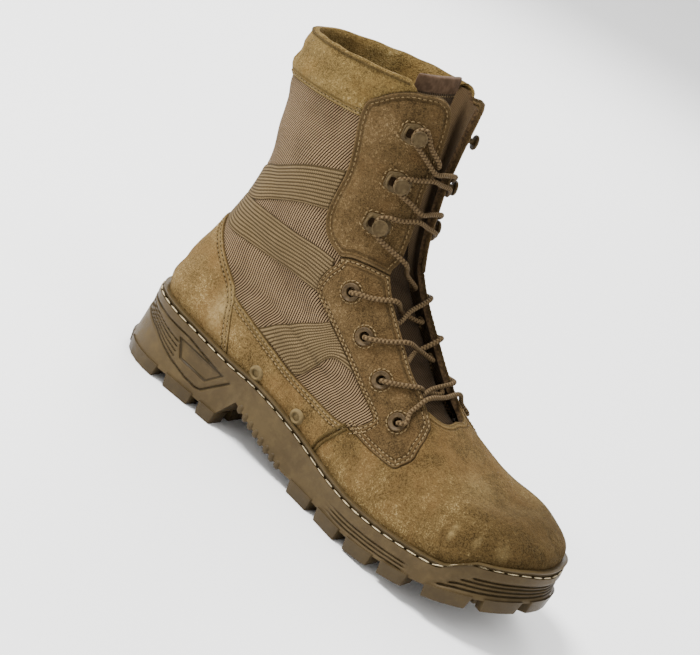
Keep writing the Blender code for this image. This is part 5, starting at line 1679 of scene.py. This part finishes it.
# %% [markdown]
# ## Side wall
# The wall carries the moulding: a sunk panel and a long V on each side of the heel, fine ribs round
# the back, thin lines above the forefoot lugs, and four ribs over the toe bumper. Each is a line or
# an edge drawn in millimetres, and the distance to it sinks the wall and paints shade into the groove.

# %% Moulded side wall
PANEL_MARKS = np.array(((42.3, 30.3), (48.5, 20.2), (69.3, 18.9), (77.7, 28.0)), dtype=float)
PANEL_DEPTH = 1.4
WALL_ROWS = 56
V_LINE = ((-9, 28.9), (10, 27.3), (23, 24.5), (35, 19.5), (44, 16), (57, 12.8), (66, 12), (70, 13),
          (84.5, 27.4))
TOP_LINE = ((-9, 36.3), (14, 36.3), (26.5, 35.5), (47, 34), (61, 31), (77.7, 28))
RIB_TOP = ((-9, 35.7), (10, 35), (20, 34), (32.4, 31.7), (42.3, 30.3))
RIB_LINES = [np.array(RIB_TOP) * (1 - t) + np.array(V_LINE[:5]) * t for t in (0.2, 0.4, 0.6, 0.8)]
GROOVE_DEPTH, GROOVE_WIDTH = 0.75, 0.75
TOE_RIB, TOE_RIB_WIDTH, WALL_BOW = 0.55, 1.5, 0.5
TOE_GROOVES = ((0.62, 271), (0.49, 266), (0.35, 261), (0.2, 256))       # share of the wall, start


def in_panel(x, z):
    """True distance to the panel's edge: more than 0 inside it."""
    best = np.full(x.shape, 1e9)
    marks = PANEL_MARKS
    for a, b in zip(marks, np.roll(marks, -1, axis=0)):
        edge = (b - a) / np.linalg.norm(b - a)
        best = np.minimum(best, edge[0] * (z - a[1]) - edge[1] * (x - a[0]))
    return best


def wall_rings():
    """Rows of the side wall, from its foot to the stitched line, with the moulding in it."""
    low = plate_bottom(PLAN_X) + 0.2
    shares = np.linspace(0, 1, WALL_ROWS)
    heights = low + (STITCH_Z - low) * shares[:, None]
    x = np.broadcast_to(PLAN_X, heights.shape)
    flat = np.stack([x.ravel(), heights.ravel()], axis=1)
    line = np.minimum(near_line(flat, V_LINE), near_line(flat, TOP_LINE))
    for rib in RIB_LINES:
        line = np.minimum(line, near_line(flat, rib) + 0.15)
    below = (STITCH_Z - heights).ravel()
    fore = eased(flat[:, 0], (150, 190)) * (1 - eased(flat[:, 0], (238, 254)))
    for k in range(3):
        drop = 2.2 + (4.6 + 2.1 * k) * eased(flat[:, 0], (140, 172))
        line = np.minimum(line, np.abs(below - drop) + 0.2 + 4 * (1 - fore))
    share_flat = np.repeat(shares, ROUND)
    tall = np.tile(STITCH_Z - low, WALL_ROWS)
    ribs = np.zeros(len(flat))
    for level, start in TOE_GROOVES:
        reach = eased(flat[:, 0], (start, start + 7))
        off = np.abs(share_flat - level) * tall
        line = np.minimum(line, off + 5 * (1 - reach))
        ribs += reach * TOE_RIB * np.exp(-((share_flat - level) * tall / TOE_RIB_WIDTH) ** 2)
    sunk = in_panel(flat[:, 0], flat[:, 1])
    line = np.minimum(line, np.abs(sunk))
    press = GROOVE_DEPTH * np.exp(-(line / GROOVE_WIDTH) ** 2) + ribs
    press += PANEL_DEPTH * smooth((sunk + 0.3) / 1.6)
    bow = WALL_BOW * np.sin(math.pi * share_flat) * (1 - eased(flat[:, 0], (260, 268)))
    press = (press + bow).reshape(heights.shape)
    line = line.reshape(heights.shape)
    rows = [ground_ring(*row) for row in zip(heights, TOP_TAPER * shares[:, None] + press)]
    return rows, list(line)


rows, marks = wall_rings()
foot = ground_ring(plate_bottom(PLAN_X) + PLATE + GAP, 2.4)
inner_foot = ground_ring(plate_bottom(PLAN_X) + 0.2, 2.2)
ledge = last_ring(STITCH_Z, LIP_INSIDE)
cup = last_ring(FLOOR_Z - CUP_DEPTH, WALL_OFFSET)
shoulder = ground_ring(STITCH_Z + 0.15, TOP_TAPER + 0.45)
channel = ledge * 0.5 + shoulder * 0.5 - (0, 0, 0.5)
rings = [foot, inner_foot] + rows + [shoulder, channel, ledge, cup]
far_mark = np.full(ROUND, 30.0)
mark_rows = np.array([far_mark, far_mark] + marks + [far_mark] * 4)
keep(cap(lattice(rings, marks={"edge": mark_rows})), "sole_side_wall",
     (RUBBER_SIDE,), ("midsole",))

# %% [markdown]
# ## Lip and its stitches
# Above the wall a lip hugs the upper. A groove parts the two, and long pale stitches lie in it.

# %% Lip and sole stitches
TOP_Z = STITCH_Z + LIP_RISE
lip_foot_in = last_ring(STITCH_Z + STITCH_GROOVE, LIP_INSIDE)
lip_foot_out = ground_ring(STITCH_Z + STITCH_GROOVE, TOP_TAPER)
wide = np.linalg.norm(lip_foot_out - lip_foot_in, axis=1, keepdims=True)
lip_foot = lip_foot_in + (lip_foot_out - lip_foot_in) * np.minimum(0.5, (WELT_FOOT + 1.2) / wide)
lip_top = last_ring(TOP_Z, WALL_OFFSET + LIP_THICKNESS)
LIP_FRONT = ((0.25, 0.0), (0.0, 0.1), (0.0, 0.35), (0.3, 0.6), (0.75, 0.72), (0.7, 0.82), (0.8, 1.0))
LIP_BACK = ((0.15, WALL_OFFSET + 0.8), (0.1, 2.3), (-0.4, 1.0), (-2.4, 1.0))        # rise, offset


def lip_ring(share, lift):
    """A ring between the lip's wide foot and its thin top."""
    ring = lip_foot * (1 - share) + lip_top * share
    ring[:, 2] = STITCH_Z + STITCH_GROOVE + (LIP_RISE - STITCH_GROOVE) * lift
    return ring


lip_rings = [lip_foot_in] + [lip_ring(*row) for row in LIP_FRONT]
lip_rings += [last_ring(TOP_Z + rise, offset) for rise, offset in LIP_BACK]
lip_work = lattice(lip_rings, loop=True)
face_out(lip_work)
keep(lip_work, "sole_lip", (RUBBER_LIP,), ("welt",))

SOLE_STITCH, SOLE_PITCH = 6.6, 8.6
thread_ring = ground_ring(STITCH_Z + 0.8, TOP_TAPER + 0.35)
closed_ring = np.concatenate([thread_ring, thread_ring[:1]])
ring_length = run_of(closed_ring)[-1]
sole_threads = []
for spot in np.arange(4, ring_length - 8, SOLE_PITCH):
    a, b = by_girth(closed_ring, np.array([spot, spot + SOLE_STITCH]) / ring_length)
    centre = (a + b) / 2
    sole_threads.append(stand_on(centre, b - a, np.cross(b - a, (0, 0, 1))))
sow("sole_stitches", bar_mesh(SOLE_STITCH + 0.4, 0.42, 8, 7), sole_threads, SOLE_THREAD)

# %% [markdown]
# ## Tread
# A plate carries the lugs: blocks along both edges, three-armed chunks inside, arcs round toe and
# heel, and thick rounded ribs under the arch. Each lug is an extruded outline, tapered towards the
# ground and bevelled, as it comes out of a mould.

# %% Tread
CHUNKS = (
    (159, -13, 20), (160, 15, 75), (177, 1, 40), (180, -25, 95), (181, 28, 10), (197, -12, 60),
    (198, 15, 25), (214, 2, 85), (217, -25, 30), (219, 27, 70), (234, -11, 15), (235, 16, 50),
    (50, -11, 10), (51, 12, 70), (32, 1, 40), (66, 0, 100),
)
CHUNK_ARMS, CHUNK_WAISTS = 9.3, 5.6
EDGE_LUGS = ((151, 171), (177, 197), (203, 222), (228, 246))
HEEL_LUGS = ((46, 68), (74, 87))
TOE_ARCS = ((0, 9), (12, 19), (22, 28))
TOE_CUTS = ((0.815, 0.885), (0.9, 0.955))
LUG_REACH, LUG_PROUD, LUG_TAPER, LUG_BEVEL = 1.3, 1.0, 0.9, 0.75
HEEL_BAR = ((76, -21), (87, -21), (87, 21), (76, 21))
HEEL_CORNERS = ((0.065, 39, -LUG_PROUD, 9), (0.07, 34, 12, 18))
HEEL_ARCS = ((-LUG_PROUD, 9), (12, 18))
ARCH_RIBS, RIB_START, RIB_PITCH = 8, 99.5, 5.4
RIB_SIZE, RIB_INNER, RIB_PROUD = (2.35, 1.9, 2.9), 15.0, 0.5
PLATE_SECTION = ((PLATE, 2.8), (PLATE, 2.5), (0.4, 2.5), (0.4, 0.9), (0.1, 0.3), (-0.2, 0.5))


RIM = {side: np.flatnonzero(RING_SIDE == side) for side in (-1, 1)}
RIM = {side: mine[np.argsort(RING_SHARE[mine])] for side, mine in RIM.items()}


def edge_share(x, side):
    """The share along one side of the rim at x."""
    return float(np.interp(x, RING[RIM[side], 0], RING_SHARE[RIM[side]]))


def rim_points(shares, side, inward):
    """Plan points on the sole's outline of one side, moved inward."""
    plan = ground_ring(0.0, inward)[RIM[side]]
    return [tuple(np.interp(q, RING_SHARE[RIM[side]], plan[:, k]) for k in (0, 1)) for q in shares]


def lug(plan):
    """One bevelled block of tread."""
    plan = np.array(plan)
    work = bmesh.new()
    face = work.faces.new([work.verts.new((x, y, LUG_DEPTH + LUG_REACH)) for x, y in plan])
    grown = bmesh.ops.extrude_face_region(work, geom=[face])
    tips = [v for v in grown["geom"] if isinstance(v, bmesh.types.BMVert)]
    middle = Vector((*plan.mean(axis=0), 0))
    bmesh.ops.scale(work, verts=tips, vec=(LUG_TAPER, LUG_TAPER, 0), space=Matrix.Translation(-middle))
    face_out(work)
    sharp = [e for e in work.edges if all(v.co.z < 1 for v in e.verts) or
             (abs(e.verts[0].co.z - e.verts[1].co.z) > 3 and e.calc_face_angle(0) > 0.4)]
    bmesh.ops.bevel(work, geom=sharp, offset=LUG_BEVEL, affect="EDGES", segments=2, profile=0.5, material=-1)
    for v in work.verts:
        v.co.z += float(spring(v.co.x))
    return work


def lug_between(start, end, side, near, far):
    """A block along the edge, between two shares of one side."""
    shares = np.linspace(start, end, 5)
    return lug(rim_points(shares, side, near) + rim_points(shares[::-1], side, far))


def nose(reach, near, far, q_end):
    """An arc that joins both sides round the toe or the heel."""
    shares = np.linspace(reach, q_end, 5)
    outer = rim_points(shares, -1, near) + rim_points(shares[-2::-1], 1, near)
    inner = rim_points(shares, 1, far) + rim_points(shares[-2::-1], -1, far)
    return lug(outer + inner)


def star(x, y, turn):
    """A three-armed chunk: six corners, by turns far out and close in."""
    corners = []
    for i in range(6):
        reach = CHUNK_WAISTS if i % 2 else CHUNK_ARMS
        angle = math.radians(turn + 60 * i)
        corners.append((x + reach * math.cos(angle), y + reach * math.sin(angle)))
    return lug(corners)


def arch_rib(number, side):
    """A thick rounded rib under the arch, from inside to proud of the wall."""
    x = RIB_START + RIB_PITCH * number
    outer = rim_points([edge_share(x, side)], side, -RIB_PROUD)[0][1]
    low = float(plate_bottom(x))
    work = bmesh.new()
    bmesh.ops.create_uvsphere(work, u_segments=16, v_segments=10, radius=1.0)
    bmesh.ops.scale(work, verts=work.verts, vec=RIB_SIZE)
    for v in work.verts:
        v.co.y += outer - 1.6 * side if v.co.y * side > 0 else RIB_INNER * side
        v.co.x += x
        v.co.z += low + 0.3
    return work


def tread():
    """The plate with every lug and rib on it."""
    plate = [ground_ring(plate_bottom(PLAN_X) + rise, inward) for rise, inward in PLATE_SECTION]
    works = [cap(lattice(plate))]
    works += [star(*row) for row in CHUNKS]
    for side in (-1, 1):
        for start, end in EDGE_LUGS + HEEL_LUGS:
            works.append(lug_between(edge_share(start, side), edge_share(end, side), side, -LUG_PROUD, 13))
        for near, far in TOE_ARCS:
            for start, end in TOE_CUTS:
                works.append(lug_between(start, end, side, near or -LUG_PROUD, far))
        for share, x, near, far in HEEL_CORNERS:
            works.append(lug_between(share, edge_share(x, side), side, near, far))
        works += [arch_rib(i, side) for i in range(ARCH_RIBS)]
    for near, far in TOE_ARCS:
        works.append(nose(0.97, near or -LUG_PROUD, far, 1.0))
    for near, far in HEEL_ARCS:
        works.append(nose(0.05, near, far, 0.0))
    works.append(lug(HEEL_BAR))
    return join(works)


keep(tread(), "tread_lugs", (RUBBER_TREAD,), ("outsole",), sharp=30)

# %% [markdown]
# ## Insole
# A thin cloth-covered bed lies on the floor of the cup.

# %% Insole
BED_GAP, BED_SECTION = 1.2, ((0.3, 0), (3.2, 0), (4.0, 0.5), (4.3, 1.4))        # rise, tuck
bed_rings = [last_ring(FLOOR_Z + rise, -WALL - BED_GAP - tuck) for rise, tuck in BED_SECTION]
keep(cap(lattice(bed_rings)), "insole_bed", (SHADED_LINING,), ("insole",))

# %% Sew everything on
sow("upper_stitches", bar_mesh(STITCH_LENGTH, THREAD_RADIUS), thread_places, THREAD)
# The dark bars sunk between the stitches are painted shade in the needle holes.
sow("needle_holes", bar_mesh(HOLE_LENGTH, HOLE_RADIUS), hole_places, NEEDLE_HOLE_SHADE)
